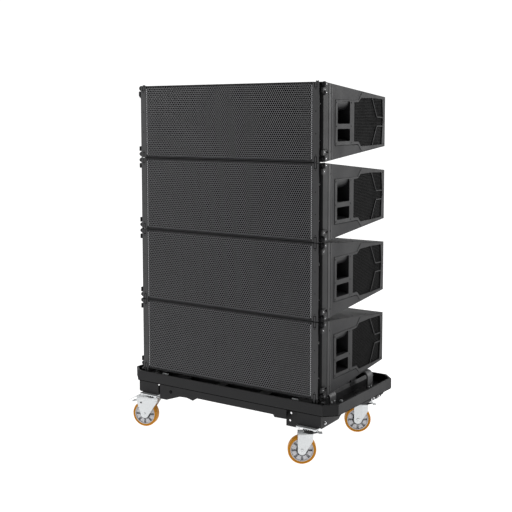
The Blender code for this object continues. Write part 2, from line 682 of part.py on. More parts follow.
def fork_mesh(shop, head_top, heel, nose):
    bridge_low = head_top - FORK_HEAD_T
    head = rod_mesh("z", (0, 0, head_top - FORK_HEAD_T / 2), RACE_R - 0.002, FORK_HEAD_T, COARSE)
    outer = FORK_IN + FORK_T
    bridge_top = bridge_low + FORK_BRIDGE_T
    bridge = box_mesh((heel[0], -outer, bridge_low), (nose[0], outer, bridge_top))
    outline = fork_outline(bridge_top, heel, nose)
    steps = [("join", bridge)]
    for low, high in ((FORK_IN, outer), (-outer, -FORK_IN)):
        steps.append(("join", across(outline, low, high)))
    axle_length = 2 * (outer + AXLE_OVERHANG)
    steps.append(("join", rod_mesh("y", (TRAIL, 0, WHEEL_R), AXLE_R, axle_length, PIN_SIDES)))
    for side in (-1, 1):
        nut = rod_mesh("y", (TRAIL, side * (outer + NUT_T / 3), WHEEL_R), NUT_R, NUT_T, 6)
        steps.append(("join", nut))
    return shop.solid(head, steps, 35.0)


def fork_outline(top, heel, nose):
    """Side plate of the fork: its edges run in from the heel and the nose to a round end at the axle."""
    arc = [
        (TRAIL + FORK_END_R * math.cos(a), WHEEL_R + FORK_END_R * math.sin(a))
        for a in (math.radians(d) for d in range(0, -151, -30))
    ]
    return [(heel[0], top), heel, *reversed(arc), nose, (nose[0], top)]


def wheel_mesh(shop):
    """Tread on a webbed hub, with a bore for the axle, turned about Y."""
    bore = AXLE_R + PIN_CLEARANCE
    rim_in = WHEEL_R - TREAD_T
    boss_r, web, shoulder = 0.018, 0.010, 0.003
    half = [
        (bore, HUB_HALF_W), (boss_r, HUB_HALF_W), (boss_r + 0.002, web + 0.002), (rim_in - shoulder, web),
        (rim_in, TYRE_HALF_W), (WHEEL_R - shoulder, TYRE_HALF_W), (WHEEL_R, TYRE_HALF_W - 0.005),
    ]
    profile = half + [(radius, -z) for radius, z in reversed(half)]
    return shop.turned(profile, FINE, Matrix.Rotation(math.pi / 2, 4, "X"))


def pedal_mesh(shop, side, pivot, reach, z):
    """Brake pedal: a lever between the fork's plates with a foot pad at its tip."""
    half = FORK_IN - 2 * GAP
    hub = rod_mesh("y", (pivot, 0, PEDAL_PIVOT_Z), PEDAL_HUB_R, 2 * half, PIN_SIDES)
    tip = side * reach
    knee = tip - side * PEDAL_FOOT
    low, half_hub = z - PEDAL_DROP, PEDAL_HUB_R / 2
    arm = across(
        (
            (pivot, PEDAL_PIVOT_Z - half_hub), (knee, low + WELD), (tip, low + WELD),
            (tip, low + PEDAL_T - WELD), (knee, low + PEDAL_T + WELD), (pivot, PEDAL_PIVOT_Z + half_hub),
        ),
        4 * WELD - half, half - 4 * WELD,
    )
    pad_low, pad_high = sorted((knee, tip))
    pad = box_mesh((pad_low, -half, low), (pad_high, half, low + PEDAL_T))
    return shop.solid(hub, [("join", arm), ("join", pad)], 35.0)


def build_cabinets(shop):
    enclosure = enclosure_mesh(shop)
    grille = front_grille_mesh(shop)
    insert = side_insert_mesh(shop)
    woofer = woofer_mesh(shop)
    horn = horn_mesh(shop)
    panel = rear_panel_mesh(shop)
    link = front_link_mesh(shop)
    rear_link = rear_link_mesh(shop)
    sides = (("left", mirrored(insert), mirrored(link), -1), ("right", insert, link, 1))
    for number in range(1, CABINETS + 1):
        base = STACK_Z + (CABINETS - number) * (HEIGHT + SEAM)
        axis = shop.anchor(f"cabinet_{number}_splay_axis", (0, FRONT_Y + HINGE_Y, base + HINGE_Z))
        home = (0, -HINGE_Y, -HINGE_Z)
        shop.place(f"cabinet_{number}_enclosure", enclosure, "cabinet_paint", axis, home)
        shop.place(f"cabinet_{number}_front_grille", grille, "grille_steel", axis, home)
        shop.place(f"cabinet_{number}_horn", horn, "horn_plastic", axis, home)
        shop.place(f"cabinet_{number}_connector_panel", panel, "panel_metal", axis, home)
        for side, insert_copy, link_copy, sign in sides:
            shop.place(f"cabinet_{number}_side_panel_{side}", insert_copy, "insert_paint", axis, home)
            woofer_home = (sign * WOOFER_X, -HINGE_Y, MID_Z - HINGE_Z)
            shop.place(f"cabinet_{number}_woofer_{side}", woofer, "cone_paper", axis, woofer_home)
            world = (0, FRONT_Y, base)
            shop.place(f"front_link_{number}_{side}", link_copy, "link_steel", None, world)
        if number < CABINETS:
            shop.place(f"rear_link_{number}", rear_link, "link_steel", axis, home)


def build_casters(shop):
    plate, wheel, forks = caster_meshes(shop)
    for name, spec in CASTERS.items():
        centre = (spec["x"], FRONT_Y + spec["y"], 0.0)
        swivel = shop.anchor(f"caster_{name}_swivel", centre, spec["trail_deg"])
        shop.place(f"caster_{name}_top_plate", plate, "zinc", None, centre)
        shop.place(f"caster_{name}_fork", forks[spec["fork"]], "zinc", swivel)
        shop.place(f"caster_{name}_wheel", wheel, "tyre_orange", swivel, (TRAIL, 0, WHEEL_R))
        pedal = pedal_mesh(shop, **spec["pedal"])
        pivot = Vector((spec["pedal"]["pivot"], 0, PEDAL_PIVOT_Z))
        pedal.transform(Matrix.Translation(-pivot))
        shop.place(f"caster_{name}_brake_pedal", pedal, "zinc", swivel, pivot)


def main():
    clear_scene()
    shop = Shop()
    shop.place("cart_tray", cart_tray_mesh(shop), "cart_paint", None, (0, FRONT_Y, 0))
    build_cabinets(shop)
    build_casters(shop)


main()
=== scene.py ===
from math import atan2, copysign, cos, floor, pi, radians, sin, sqrt, tau

import bmesh
import bpy
from mathutils import Matrix, Vector


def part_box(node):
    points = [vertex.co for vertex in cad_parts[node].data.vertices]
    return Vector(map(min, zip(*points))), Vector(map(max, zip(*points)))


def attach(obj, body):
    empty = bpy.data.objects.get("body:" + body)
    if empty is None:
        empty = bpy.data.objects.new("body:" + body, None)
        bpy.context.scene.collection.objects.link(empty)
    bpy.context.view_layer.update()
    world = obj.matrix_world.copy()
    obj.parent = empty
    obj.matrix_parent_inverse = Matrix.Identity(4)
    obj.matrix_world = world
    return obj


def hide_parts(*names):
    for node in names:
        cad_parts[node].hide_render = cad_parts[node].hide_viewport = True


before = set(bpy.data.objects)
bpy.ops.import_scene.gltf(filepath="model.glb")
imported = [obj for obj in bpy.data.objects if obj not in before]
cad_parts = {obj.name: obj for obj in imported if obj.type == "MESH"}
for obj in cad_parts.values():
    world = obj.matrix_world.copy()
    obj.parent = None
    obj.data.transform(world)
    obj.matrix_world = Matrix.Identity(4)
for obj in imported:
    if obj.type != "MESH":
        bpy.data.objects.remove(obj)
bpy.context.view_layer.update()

# ---- places taken from the CAD frame

CABINETS, LOWEST = (1, 2, 3, 4), 4
CORNERS = ("front_left", "front_right", "rear_left", "rear_right")

shell_low, shell_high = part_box("cabinet_1_enclosure")
HALF_W = shell_high.x
HEIGHT = shell_high.z - shell_low.z
DEPTH = shell_high.y - shell_low.y
grille_low, grille_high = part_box("cabinet_1_front_grille")
GRILLE_HALF_W = grille_high.x
GRILLE_LOW, GRILLE_HIGH = grille_low.z - shell_low.z, grille_high.z - shell_low.z
CUP_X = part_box("cabinet_1_side_panel_right")[0].x
link_low, link_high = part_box("front_link_1_right")
PIN_Y = (link_low.y + link_high.y) / 2 - shell_low.y
STRIP_HALF_W = HALF_W - 0.008
cart_low, cart_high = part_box("cart_tray")

BAND, TAPER = 0.033, 0.054  # the level band behind the grille, and how far the rear edge comes down
SLOPE = TAPER / (DEPTH - BAND)

RIGHT, FRONT, BACK, UP, DOWN = (1, 0, 0), (0, -1, 0), (0, 1, 0), (0, 0, 1), (0, 0, -1)


def drop(y):
    """How far the top face has come down, and the base has risen, at this depth."""
    return max(0.0, y - BAND) * SLOPE


# ---- materials


def having(thing, **settings):
    """The same thing, its properties set."""
    for key, value in settings.items():
        setattr(thing, key, value)
    return thing


def fed(tree, shader_node, inputs):
    """The same node, its inputs given as values or as the sockets that feed them."""
    for key, value in inputs.items():
        if isinstance(value, bpy.types.NodeSocket):
            tree.links.new(value, shader_node.inputs[key])
        else:
            shader_node.inputs[key].default_value = value
    return shader_node


def add_node(tree, kind, inputs=None, **settings):
    return fed(tree, having(tree.nodes.new(kind), **settings), inputs or {})


def principled(name):
    material = having(bpy.data.materials.new(name), use_nodes=True)
    return material, material.node_tree, material.node_tree.nodes["Principled BSDF"]


def noise(tree, coords, scale, detail):
    inputs = {"Scale": scale, "Detail": detail, "Vector": coords}
    return add_node(tree, "ShaderNodeTexNoise", inputs).outputs["Fac"]


def ranged(tree, value, start, end, low, high, how="SMOOTHSTEP"):
    limits = {"From Min": start, "From Max": end, "To Min": low, "To Max": high, "Value": value}
    return add_node(tree, "ShaderNodeMapRange", limits, interpolation_type=how).outputs["Result"]


def spread(tree, factor, low, high):
    """The middle of a noise stretched over a range."""
    return ranged(tree, factor, 0.3, 0.7, low, high, "LINEAR")


def finish(name, colour, rough, metallic=0.0, grain=900.0, bump=0.1, depth=0.0003, patch=0.12, specular=0.5):
    """A procedural finish: fine grain in the surface and slow changes in its colour and gloss."""
    material, tree, shader = principled(name)
    coords = add_node(tree, "ShaderNodeTexCoord").outputs["Object"]
    slow, fine = noise(tree, coords, 7.0, 4.0), noise(tree, coords, grain, 3.0)
    half = add_node(tree, "ShaderNodeMath", {0: slow, 1: 0.5}, operation="MULTIPLY").outputs[0]
    both = add_node(tree, "ShaderNodeMath", {0: fine, 1: 0.5, 2: half}, operation="MULTIPLY_ADD").outputs[0]
    dark, light = ((*(c * (1 + change) for c in colour), 1.0) for change in (-patch, patch))
    mix = add_node(tree, "ShaderNodeMix", {"A": dark, "B": light, "Factor": spread(tree, both, 0.0, 1.0)},
                   data_type="RGBA")
    relief = add_node(tree, "ShaderNodeBump", {"Strength": bump, "Distance": depth, "Height": fine})
    gloss = spread(tree, slow, rough - ROUGH_CHANGE, rough + ROUGH_CHANGE)
    fed(tree, shader, {"Base Color": mix.outputs["Result"], "Normal": relief.outputs["Normal"],
                       "Roughness": gloss, "Metallic": metallic, "Specular IOR Level": specular})
    return material


ROUGH_CHANGE = 0.08
STEEL = {"grain": 1400, "bump": 0.12}
SHEET = {"grain": 1600, "bump": 0.15}
MOULDED = {"grain": 1100, "bump": 0.25, "specular": 0.25}
FITTING = {"grain": 900, "bump": 0.1, "specular": 0.25}
FINISHES = {  # what each look is made of, and the slot it fills
    "shell": (finish("textured_black_paint", (0.02, 0.02, 0.0213), 0.6, grain=520, bump=0.5, depth=0.0005,
                     specular=0.22), "cabinet_paint"),
    "front": (finish("satin_front_steel", (0.047, 0.047, 0.049), 0.5, **STEEL, specular=0.3),
              "cabinet_paint"),
    "strip": (finish("satin_black_steel", (0.0115, 0.0115, 0.0122), 0.5, **STEEL, specular=0.2),
              "cabinet_paint"),
    "rail": (finish("satin_rail_steel", (0.0225, 0.0225, 0.0235), 0.5, **STEEL, specular=0.3),
             "cabinet_paint"),
    # lip: lighter than the strips, a painted highlight along the edge of the rigging strips
    "lip": (finish("painted_lip_highlight", (0.048, 0.048, 0.05), 0.45, **STEEL, specular=0.35), "cabinet_paint"),
    "grille": (finish("powder_coated_steel", (0.11, 0.11, 0.115), 0.45, **SHEET), "grille_steel"),
    # edge: light dashes, a painted highlight where the grille's folded hole rims catch the light
    "edge": (finish("painted_edge_highlight", (0.5, 0.5, 0.52), 0.45, **SHEET), "grille_steel"),
    # foam: real foam behind the grille and the vent, and also the black used as painted shade in the cabinet
    # seam, the rim groove and the link slots
    "foam": (finish("acoustic_foam_and_painted_shade", (0.0012, 0.0012, 0.0013), 0.95, grain=700, bump=0.6, specular=0.0),
             "cone_paper"),
    "insert": (finish("moulded_black", (0.016, 0.016, 0.017), 0.55, **MOULDED), "insert_paint"),
    # cup: a shade darker than the insert moulding, painted shade for the inside of the handle recess
    "cup": (finish("moulded_cup_painted_shade", (0.012, 0.012, 0.013), 0.5, **MOULDED), "insert_paint"),
    "vent": (finish("vent_mesh", (0.0038, 0.0038, 0.004), 0.55, **SHEET, specular=0.06), "insert_paint"),
    "cone": (finish("treated_paper", (0.014, 0.014, 0.015), 0.8, grain=300, bump=0.3), "cone_paper"),
    "horn": (finish("horn_moulding", (0.012, 0.012, 0.013), 0.45, grain=600, bump=0.1), "horn_plastic"),
    "panel": (finish("anodised_panel", (0.035, 0.035, 0.037), 0.4, 0.5, grain=1500, bump=0.1), "panel_metal"),
    "link": (finish("blackened_steel", (0.03, 0.03, 0.032), 0.42, 0.6, grain=900, bump=0.15), "link_steel"),
    "dark": (finish("black_fitting", (0.006, 0.006, 0.007), 0.42, 0.1, **FITTING), "link_steel"),
    "bright": (finish("polished_steel", (0.62, 0.62, 0.63), 0.22, 1.0, grain=1200, bump=0.05, patch=0.06),
               "zinc"),
    "cart": (finish("cart_powder_coat", (0.0145, 0.0145, 0.0155), 0.5, grain=1200, bump=0.2, specular=0.2),
             "cart_paint"),
    "strap": (finish("cart_strap", (0.06, 0.06, 0.062), 0.5, grain=900, bump=0.25), "cart_paint"),
    "zinc": (finish("zinc_plate", (0.74, 0.76, 0.77), 0.34, 0.55, grain=260, bump=0.06, patch=0.05), "zinc"),
    "hub": (finish("cast_hub", (0.56, 0.56, 0.58), 0.42, 0.4, grain=700, bump=0.15), "zinc"),
    # recess: darker than the hub, painted shade in the web sunk between the pads
    "recess": (finish("cast_web_painted_shade", (0.4, 0.4, 0.41), 0.6, 0.2, grain=700, bump=0.2), "zinc"),
    "tyre": (finish("orange_tread", (0.56, 0.222, 0.003), 0.5, grain=500, bump=0.08, patch=0.06,
                    specular=0.25), "tyre_orange"),
    "rubber": (finish("black_rubber", (0.012, 0.012, 0.012), 0.7, grain=800, bump=0.3), "cart_paint"),
}

# ---- mesh tools


def joined(parts):
    """One mesh from several: a part is a mesh, or (mesh, finish number) where the finish isn't the first."""
    bm = bmesh.new()
    for part in parts:
        mesh, number = part if isinstance(part, tuple) else (part, 0)
        start = len(bm.faces)
        bm.from_mesh(mesh)
        bm.faces.ensure_lookup_table()
        for face in bm.faces[start:]:
            face.material_index = number
    return meshed(bm)


def meshed(bm):
    made = bpy.data.meshes.new("part")
    bm.to_mesh(made)
    bm.free()
    return made


def drawn(build, bevel=0.0, segments=2, turn=None):
    """A closed solid filled by build(bm), its sharp edges rounded."""
    bm = bmesh.new()
    build(bm)
    bmesh.ops.remove_doubles(bm, verts=bm.verts, dist=1e-6)
    bmesh.ops.recalc_face_normals(bm, faces=bm.faces)
    if bevel:
        sharp = [e for e in bm.edges if len(e.link_faces) == 2 and e.calc_face_angle(0) > radians(30)]
        bmesh.ops.bevel(bm, geom=sharp, offset=bevel, segments=segments, profile=0.6, affect="EDGES",
                        clamp_overlap=True)
    if turn is not None:
        bmesh.ops.transform(bm, matrix=turn, verts=bm.verts)
    return meshed(bm)


def block(low, high, bevel=0.0, segments=2):
    low, high = Vector(low), Vector(high)
    place = Matrix.Translation((low + high) / 2) @ Matrix.Diagonal((*(high - low), 1.0))
    return drawn(lambda bm: bmesh.ops.create_cube(bm, size=1.0, matrix=place), bevel, segments)


PLANES = {  # how (a, b, height) of a flat outline become (x, y, z)
    "xy": Matrix.Identity(4),
    "yz": Matrix(((0, 0, 1, 0), (1, 0, 0, 0), (0, 1, 0, 0), (0, 0, 0, 1))),
    "xz": Matrix(((1, 0, 0, 0), (0, 0, 1, 0), (0, 1, 0, 0), (0, 0, 0, 1))),
}


def rounded(points, radius):
    """An outline with its corners rounded."""
    made = []
    for here, before, after in zip(points, points[-1:] + points[:-1], points[1:] + points[:1]):
        here, before, after = Vector(here), Vector(before), Vector(after)
        near = min(radius, (before - here).length * 0.45, (after - here).length * 0.45)
        start = here + (before - here).normalized() * near
        end = here + (after - here).normalized() * near
        for t in (0.0, 0.25, 0.5, 0.75, 1.0):
            made.append(tuple(start * (1 - t) ** 2 + here * (2 * t * (1 - t)) + end * t**2))
    return made


def plate(outlines, low, high, plane, bevel=0.0, turn=None):
    """A flat plate from an outer outline and any holes in it, given thickness across its plane."""
    curve = having(bpy.data.curves.new("plate", "CURVE"), dimensions="2D", fill_mode="BOTH", offset=-bevel,
                   bevel_depth=bevel, bevel_resolution=1, extrude=(high - low) / 2 - bevel)
    for points in outlines:
        spline = curve.splines.new("POLY")
        spline.points.add(len(points) - 1)
        spline.points.foreach_set("co", [number for a, b in points for number in (a, b, 0.0, 1.0)])
        spline.use_cyclic_u = True
    holder = placed("plate", curve)
    mesh = bpy.data.meshes.new_from_object(holder.evaluated_get(bpy.context.evaluated_depsgraph_get()))
    bpy.data.objects.remove(holder)
    bpy.data.curves.remove(curve)
    place = PLANES[plane] @ Matrix.Translation((0, 0, (low + high) / 2))
    mesh.transform(place if turn is None else turn @ place)
    return drawn(lambda bm: bm.from_mesh(mesh))


def quad(a0, a1, b0, b1):
    """A rectangle's outline."""
    return [(a0, b0), (a1, b0), (a1, b1), (a0, b1)]


def around(count, start=0.0):
    """Angles evenly round a circle."""
    return [tau * (k + start) / count for k in range(count)]


def along(axis, start=(0, 0, 0)):
    """Turns local Z onto an axis through a point."""
    return Matrix.Translation(start) @ Vector(axis).to_track_quat("Z", "Y").to_matrix().to_4x4()


def skinned(bm, rings, closed):
    """Faces between each ring of points and the next. A ring of one point is a tip."""
    for a, b in list(zip(rings, rings[1:])) + ([(rings[-1], rings[0])] if closed else []):
        for k in range(max(len(a), len(b))):
            spots = (a, k), (a, k + 1), (b, k + 1), (b, k)
            corners = list(dict.fromkeys(ring[at % len(ring)] for ring, at in spots))
            if len(corners) > 2:
                bm.faces.new(corners)


def turned(profile, place=Matrix.Identity(4), steps=32, closed=False):
    """A solid of revolution from (radius, height) points about local Z."""

    def build(bm):
        rings = []
        for radius, height in profile:
            angles = around(steps) if radius > 1e-6 else [0.0]
            rings.append([bm.verts.new((radius * cos(a), radius * sin(a), height)) for a in angles])
        skinned(bm, rings, closed)

    return drawn(build, turn=place)


def collar(inner, outer, low, high, place, steps):
    """A plain round washer or tube about local Z."""
    return turned(quad(inner, outer, low, high), place, steps, True)


def rod(start, end, radius):
    """A round bar between two points, with eased ends."""
    start, end = Vector(start), Vector(end)
    length = (end - start).length
    ease = min(0.0006, radius * 0.5, length * 0.4)
    profile = [(0, 0), (radius - ease, 0), (radius, ease), (radius, length - ease),
               (radius - ease, length), (0, length)]
    return turned(profile, along(end - start, start), 24)


def tube(points, radius, closed=False, sides=8):
    """A wire following points."""
    points = [Vector(p) for p in points]

    def build(bm):
        rings, last, side = [], len(points) - 1, None
        for k, point in enumerate(points):
            ahead = points[(k + 1) % len(points)] if closed or k < last else point
            behind = points[k - 1] if closed or k else point
            heading = (ahead - behind).normalized()
            guess = side if side is not None else heading.orthogonal()
            side = (guess - heading * guess.dot(heading)).normalized()
            other = heading.cross(side)
            rings.append([bm.verts.new(point + radius * (side * cos(a) + other * sin(a)))
                          for a in around(sides)])
        skinned(bm, rings, closed)
        if not closed:
            bm.faces.new(rings[0][::-1])
            bm.faces.new(rings[-1])

    return drawn(build)


def mirrored(mesh):
    copy = mesh.copy()
    copy.transform(Matrix.Scale(-1.0, 4, (1, 0, 0)))
    copy.flip_normals()
    return copy


def screw(axis, spot, radius=0.0045, height=0.0022, drive=True):
    """A domed machine screw, most with a hex socket, its head rising from a spot along an axis."""
    dome = [(0, -0.0008), (radius, -0.0008), (radius, height * 0.35), (radius * 0.82, height * 0.85),
            (radius * 0.55, height)]
    socket = [(radius * 0.45, height), (radius * 0.45, height * 0.3), (0, height * 0.3)]
    return turned(dome + (socket if drive else [(0, height)]), along(axis, spot), 16)


def hex_nut(axis, spot, radius=0.008, height=0.006, washer=0.0105):
    """A nut or bolt head on its washer."""
    place, lift = along(axis, spot), 0.0012
    middle = Matrix.Translation((0, 0, height / 2 + lift))

    def build(bm):
        bmesh.ops.create_cone(bm, cap_ends=True, segments=6, radius1=radius, radius2=radius, depth=height,
                              matrix=middle)

    head = drawn(build, 0.0007, 1, place)
    return joined([head, turned(quad(0, washer, -0.0003, lift), place, 24)])


def placed(name, data, at=(0, 0, 0), turn=(0, 0, 0)):
    """A new object in the scene."""
    obj = having(bpy.data.objects.new(name, data), location=at, rotation_euler=turn)
    bpy.context.scene.collection.objects.link(obj)
    return obj


def put(name, mesh, finishes, body, at, turn=0.0, stands_for=(), weighted=True):
    """Shows a mesh as a piece of the object, riding on a CAD body."""
    finishes = [finishes] if isinstance(finishes, str) else finishes
    if not mesh.materials:
        for key in finishes:
            mesh.materials.append(FINISHES[key][0])
        mesh.shade_smooth()
        mesh.set_sharp_from_angle(angle=radians(32))
    obj = placed(name, mesh, at, (0, 0, turn))
    if weighted:
        having(obj.modifiers.new("weighted", "WEIGHTED_NORMAL"), keep_sharp=True)
    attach(obj, body)
    if stands_for:
        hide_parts(*stands_for)


def dress(node, key, bevel=0.0, segments=2):
    """Gives a CAD node its finish and eases its edges, leaving its mesh alone."""
    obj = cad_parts[node]
    obj.data.materials.clear()
    obj.data.materials.append(FINISHES[key][0])
    having(obj.modifiers.new("weld", "WELD"), merge_threshold=0.00001)
    if bevel:
        having(obj.modifiers.new("flat", "DECIMATE"), decimate_type="DISSOLVE", angle_limit=radians(0.5))
        having(obj.modifiers.new("ease", "BEVEL"), width=bevel, segments=segments, limit_method="ANGLE",
               angle_limit=radians(30), harden_normals=True)


# ---- perforated steel


def cut(bm, normal, at, clear=False):
    """Creases a flat mesh along a line, or trims it there."""
    bmesh.ops.bisect_plane(bm, geom=bm.verts[:] + bm.edges[:] + bm.faces[:], plane_co=normal * at,
                           plane_no=normal, clear_outer=clear)


def perforated(half_u, half_v, pitch, hole_r, folds_u=(), folds_v=(), sides=10):
    """A flat sheet full of staggered round holes, trimmed to a rectangle and creased where it will fold."""
    bm = bmesh.new()
    known = {}
    row, side = pitch * sqrt(3) / 2, pitch / sqrt(3)
    sixths, angles = around(6), around(sides)
    nearest = [int(floor(a / (tau / 6) + 0.5)) % 6 for a in angles]

    def vert(u, v):
        key = round(u * 1e6), round(v * 1e6)
        if key not in known:
            known[key] = bm.verts.new((u, v, 0))
        return known[key]

    rows = int(half_v / row) + 2
    columns = int(half_u / pitch) + 2
    for j in range(-rows, rows + 1):
        for i in range(-columns, columns + 1):
            u, v = (i + 0.5 * (j % 2)) * pitch, j * row
            if abs(u) - pitch / 2 > half_u or abs(v) - side > half_v:
                continue
            corners = [vert(u + side * sin(a), v + side * cos(a)) for a in sixths]
            ring = [bm.verts.new((u + hole_r * sin(a), v + hole_r * cos(a), 0)) for a in angles]
            for k in range(sides):
                a, b = nearest[k], nearest[(k + 1) % sides]
                rim = [corners[a]] if a == b else [corners[a], corners[b]]
                bm.faces.new(rim + [ring[(k + 1) % sides], ring[k]])

    for normal, half, folds in (((1, 0, 0), half_u, folds_u), ((0, 1, 0), half_v, folds_v)):
        for sign in (1, -1):
            outward = sign * Vector(normal)
            cut(bm, outward, half, True)
            for fold in folds:
                cut(bm, outward, fold)
    if folds_u and folds_v:
        corners = [f for f in bm.faces if abs(f.calc_center_median().x) > folds_u[0]
                   and abs(f.calc_center_median().y) > folds_v[0]]
        bmesh.ops.delete(bm, geom=corners, context="FACES")
    return bm


def thickened(bm, place, thickness):
    """A closed sheet: place(u, v) gives each point of its face and the outward normal there."""
    bm.verts.index_update()
    front, back = [], []
    for vert in bm.verts:
        point, normal = place(vert.co.x, vert.co.y)
        front.append(point)
        back.append(point - normal * thickness)
    count = len(front)
    faces = [[v.index for v in f.verts] for f in bm.faces]
    walls = []
    for edge in bm.edges:
        if len(edge.link_faces) == 1:
            a, b = (v.index for v in edge.verts)
            walls.append((a, b, b + count, a + count))
    made = bpy.data.meshes.new("sheet")
    made.from_pydata(front + back, [], faces + [[i + count for i in f[::-1]] for f in faces] + walls)
    bm.free()
    return drawn(lambda b: b.from_mesh(made))


def folded(half, fold_r):
    """How far round the fold each crease lies."""
    return [half - fold_r + fold_r * pi / 2 * k / 3 for k in range(4)]


def bend(distance, half, fold_r):
    """A sheet folded back at half: a point's way sideways and back, and the same two parts of its normal."""
    sign, past = copysign(1, distance), abs(distance) - (half - fold_r)
    if past <= 0:
        return distance, 0.0, 0.0, 1.0
    a = min(past / fold_r, pi / 2)
    extra = max(0.0, past - fold_r * pi / 2)
    return (sign * (half - fold_r + fold_r * sin(a)), fold_r * (1 - cos(a)) + extra,
            sign * sin(a), cos(a))


# ---- cabinets

GRILLE_PITCH, GRILLE_HOLE_R, GRILLE_T, GRILLE_FOLD_R, GRILLE_LIP = 0.0103, 0.0044, 0.0014, 0.0028, 0.0035


def front_grille():
    half_v = (GRILLE_HIGH - GRILLE_LOW) / 2
    middle = (GRILLE_HIGH + GRILLE_LOW) / 2
    flat = perforated(GRILLE_HALF_W + GRILLE_LIP, half_v + GRILLE_LIP, GRILLE_PITCH, GRILLE_HOLE_R,
                      folded(GRILLE_HALF_W, GRILLE_FOLD_R), folded(half_v, GRILLE_FOLD_R))

    def place(u, v):
        x, back_u, nx, ny_u = bend(u, GRILLE_HALF_W, GRILLE_FOLD_R)
        z, back_v, nz, ny_v = bend(v, half_v, GRILLE_FOLD_R)
        return Vector((x, back_u + back_v, middle + z)), Vector((nx, -min(ny_u, ny_v), nz)).normalized()

    return thickened(flat, place, GRILLE_T)


def grille_edge_highlight():
    """Bright dashes at each end of the grille, one for each row of holes: a painted highlight where the fold
    cuts through the hole rims and they catch the light.
    """
    row, middle = GRILLE_PITCH * sqrt(3) / 2, (GRILLE_HIGH + GRILLE_LOW) / 2
    count = int((GRILLE_HIGH - GRILLE_LOW) / 2 / row) - 1
    x0, x1 = GRILLE_HALF_W - 0.0046, GRILLE_HALF_W - 0.001
    levels = [middle + k * row for k in range(-count, count + 1)]
    return joined([block((a, -0.0005, z - 0.0024), (b, 0.0012, z + 0.0024), 0.0003, 1)
                   for a, b in ((-x1, -x0), (x0, x1)) for z in levels])


# Side panel: outlines in depth y and height z
FRAME_T = 0.0018
VENT = [(0.2905, 0.256), (0.329, 0.257), (0.354, 0.2755), (0.457, 0.2775), (0.5645, 0.2735), (0.572, 0.189),
        (0.5625, 0.0635), (0.474, 0.061), (0.356, 0.06), (0.3335, 0.081), (0.2905, 0.082)]
RIBS = ([(0.463, 0.279), (0.513, 0.191), (0.574, 0.1885)], [(0.574, 0.1485), (0.513, 0.149), (0.465, 0.0585)])
FRAME_OUTER = [(0.1215, 0.068), (0.329, 0.069), (0.364, 0.038), (0.585, 0.057), (0.585, 0.2815),
               (0.364, 0.3005), (0.329, 0.265), (0.1215, 0.264)]
APERTURES = quad(0.1415, 0.2515, 0.161, 0.259), quad(0.1415, 0.2515, 0.085, 0.139)
FRAME_SCREWS = ((0.1305, 0.2525), (0.265, 0.2525), (0.1305, 0.15), (0.265, 0.15), (0.1305, 0.0775),
                (0.265, 0.0775), (0.579, 0.272), (0.579, 0.067), (0.579, 0.169))


def side_frame():
    """The pressed frame round the handle and the vent, with its ribs."""
    face = HALF_W + FRAME_T
    holes = [rounded(a[::-1], 0.006) for a in APERTURES] + [rounded(VENT[::-1], 0.004)]
    parts = [plate([rounded(FRAME_OUTER, 0.006)] + holes, HALF_W - 0.0042, face, "yz", 0.0009)]
    for line in RIBS:
        for a, b in zip(line, line[1:]):
            a, b = Vector(a), Vector(b)
            across = (b - a).orthogonal().normalized() * 0.0022
            outline = [tuple(a - across), tuple(b - across), tuple(b + across), tuple(a + across)]
            parts.append(plate([outline], HALF_W - 0.0035, face - 0.0008, "yz", 0.0006))
    return joined(parts)


def handle_cup():
    """The moulded recess behind the handle: a scooped roof, a deep back and a sloping sill."""
    y0, y1 = APERTURES[0][0][0], APERTURES[0][1][0]
    top, bottom = APERTURES[0][2][1], APERTURES[1][0][1]
    mouth, wall = HALF_W - 0.0005, 0.003
    roof = [(mouth - 0.004 - 0.046 * (1 - cos(t)), top - 0.04 * sin(t))
            for t in (pi / 2 * k / 8 for k in range(9))]
    back = CUP_X + wall + 0.002
    deep = [(roof[-1][0], roof[-1][1] + 0.004), (back, roof[-1][1] + 0.002), (back, bottom + 0.02),
            (back + 0.01, bottom + 0.01)]
    sill = [(mouth - 0.026, bottom + 0.0075), (mouth, bottom)]
    inside = roof + deep + sill

    bm = bmesh.new()
    near, far = ([bm.verts.new((x, y, z)) for x, z in inside] for y in (y0, y1))
    for k in range(len(inside) - 1):
        bm.faces.new((near[k], near[k + 1], far[k + 1], far[k]))
    bm.faces.new(near)
    bm.faces.new(far[::-1])
    bmesh.ops.recalc_face_normals(bm, faces=bm.faces)
    corner = [e for e in bm.edges if len(e.link_faces) == 2 and abs(e.verts[0].co.y - e.verts[1].co.y) < 1e-5]
    bmesh.ops.bevel(bm, geom=corner, offset=0.009, segments=4, profile=0.5, affect="EDGES",
                    clamp_overlap=True)
    centre = Vector((HALF_W - 0.04, (y0 + y1) / 2, (top + bottom) / 2))
    if sum(f.normal.dot(centre - f.calc_center_median()) < 0 for f in bm.faces) > len(bm.faces) / 2:
        bmesh.ops.reverse_faces(bm, faces=bm.faces)
    bmesh.ops.solidify(bm, geom=bm.faces[:], thickness=wall)
    return meshed(bm)


def crossbar():
    y0, y1 = APERTURES[0][0][0] - 0.004, APERTURES[0][1][0] + 0.004
    low, high = APERTURES[1][2][1], APERTURES[0][0][1]
    outer = HALF_W + FRAME_T - 0.0004
    return block((HALF_W - 0.024, y0, low - 0.0005), (outer, y1, high + 0.0005), 0.0055, 5)


VENT_PITCH, VENT_HOLE_R = 0.0078, 0.0029


def vent_sheet():
    y0, y1 = min(p[0] for p in VENT) - 0.002, 0.5765
    z0, z1 = min(p[1] for p in VENT) - 0.001, max(p[1] for p in VENT) + 0.001
    middle_y, middle_z = (y0 + y1) / 2, (z0 + z1) / 2
    flat = perforated((y1 - y0) / 2, (z1 - z0) / 2, VENT_PITCH, VENT_HOLE_R, sides=8)

    def place(u, v):
        return Vector((HALF_W - 0.0028, middle_y + u, middle_z + v)), Vector((1, 0, 0))

    return thickened(flat, place, 0.001)


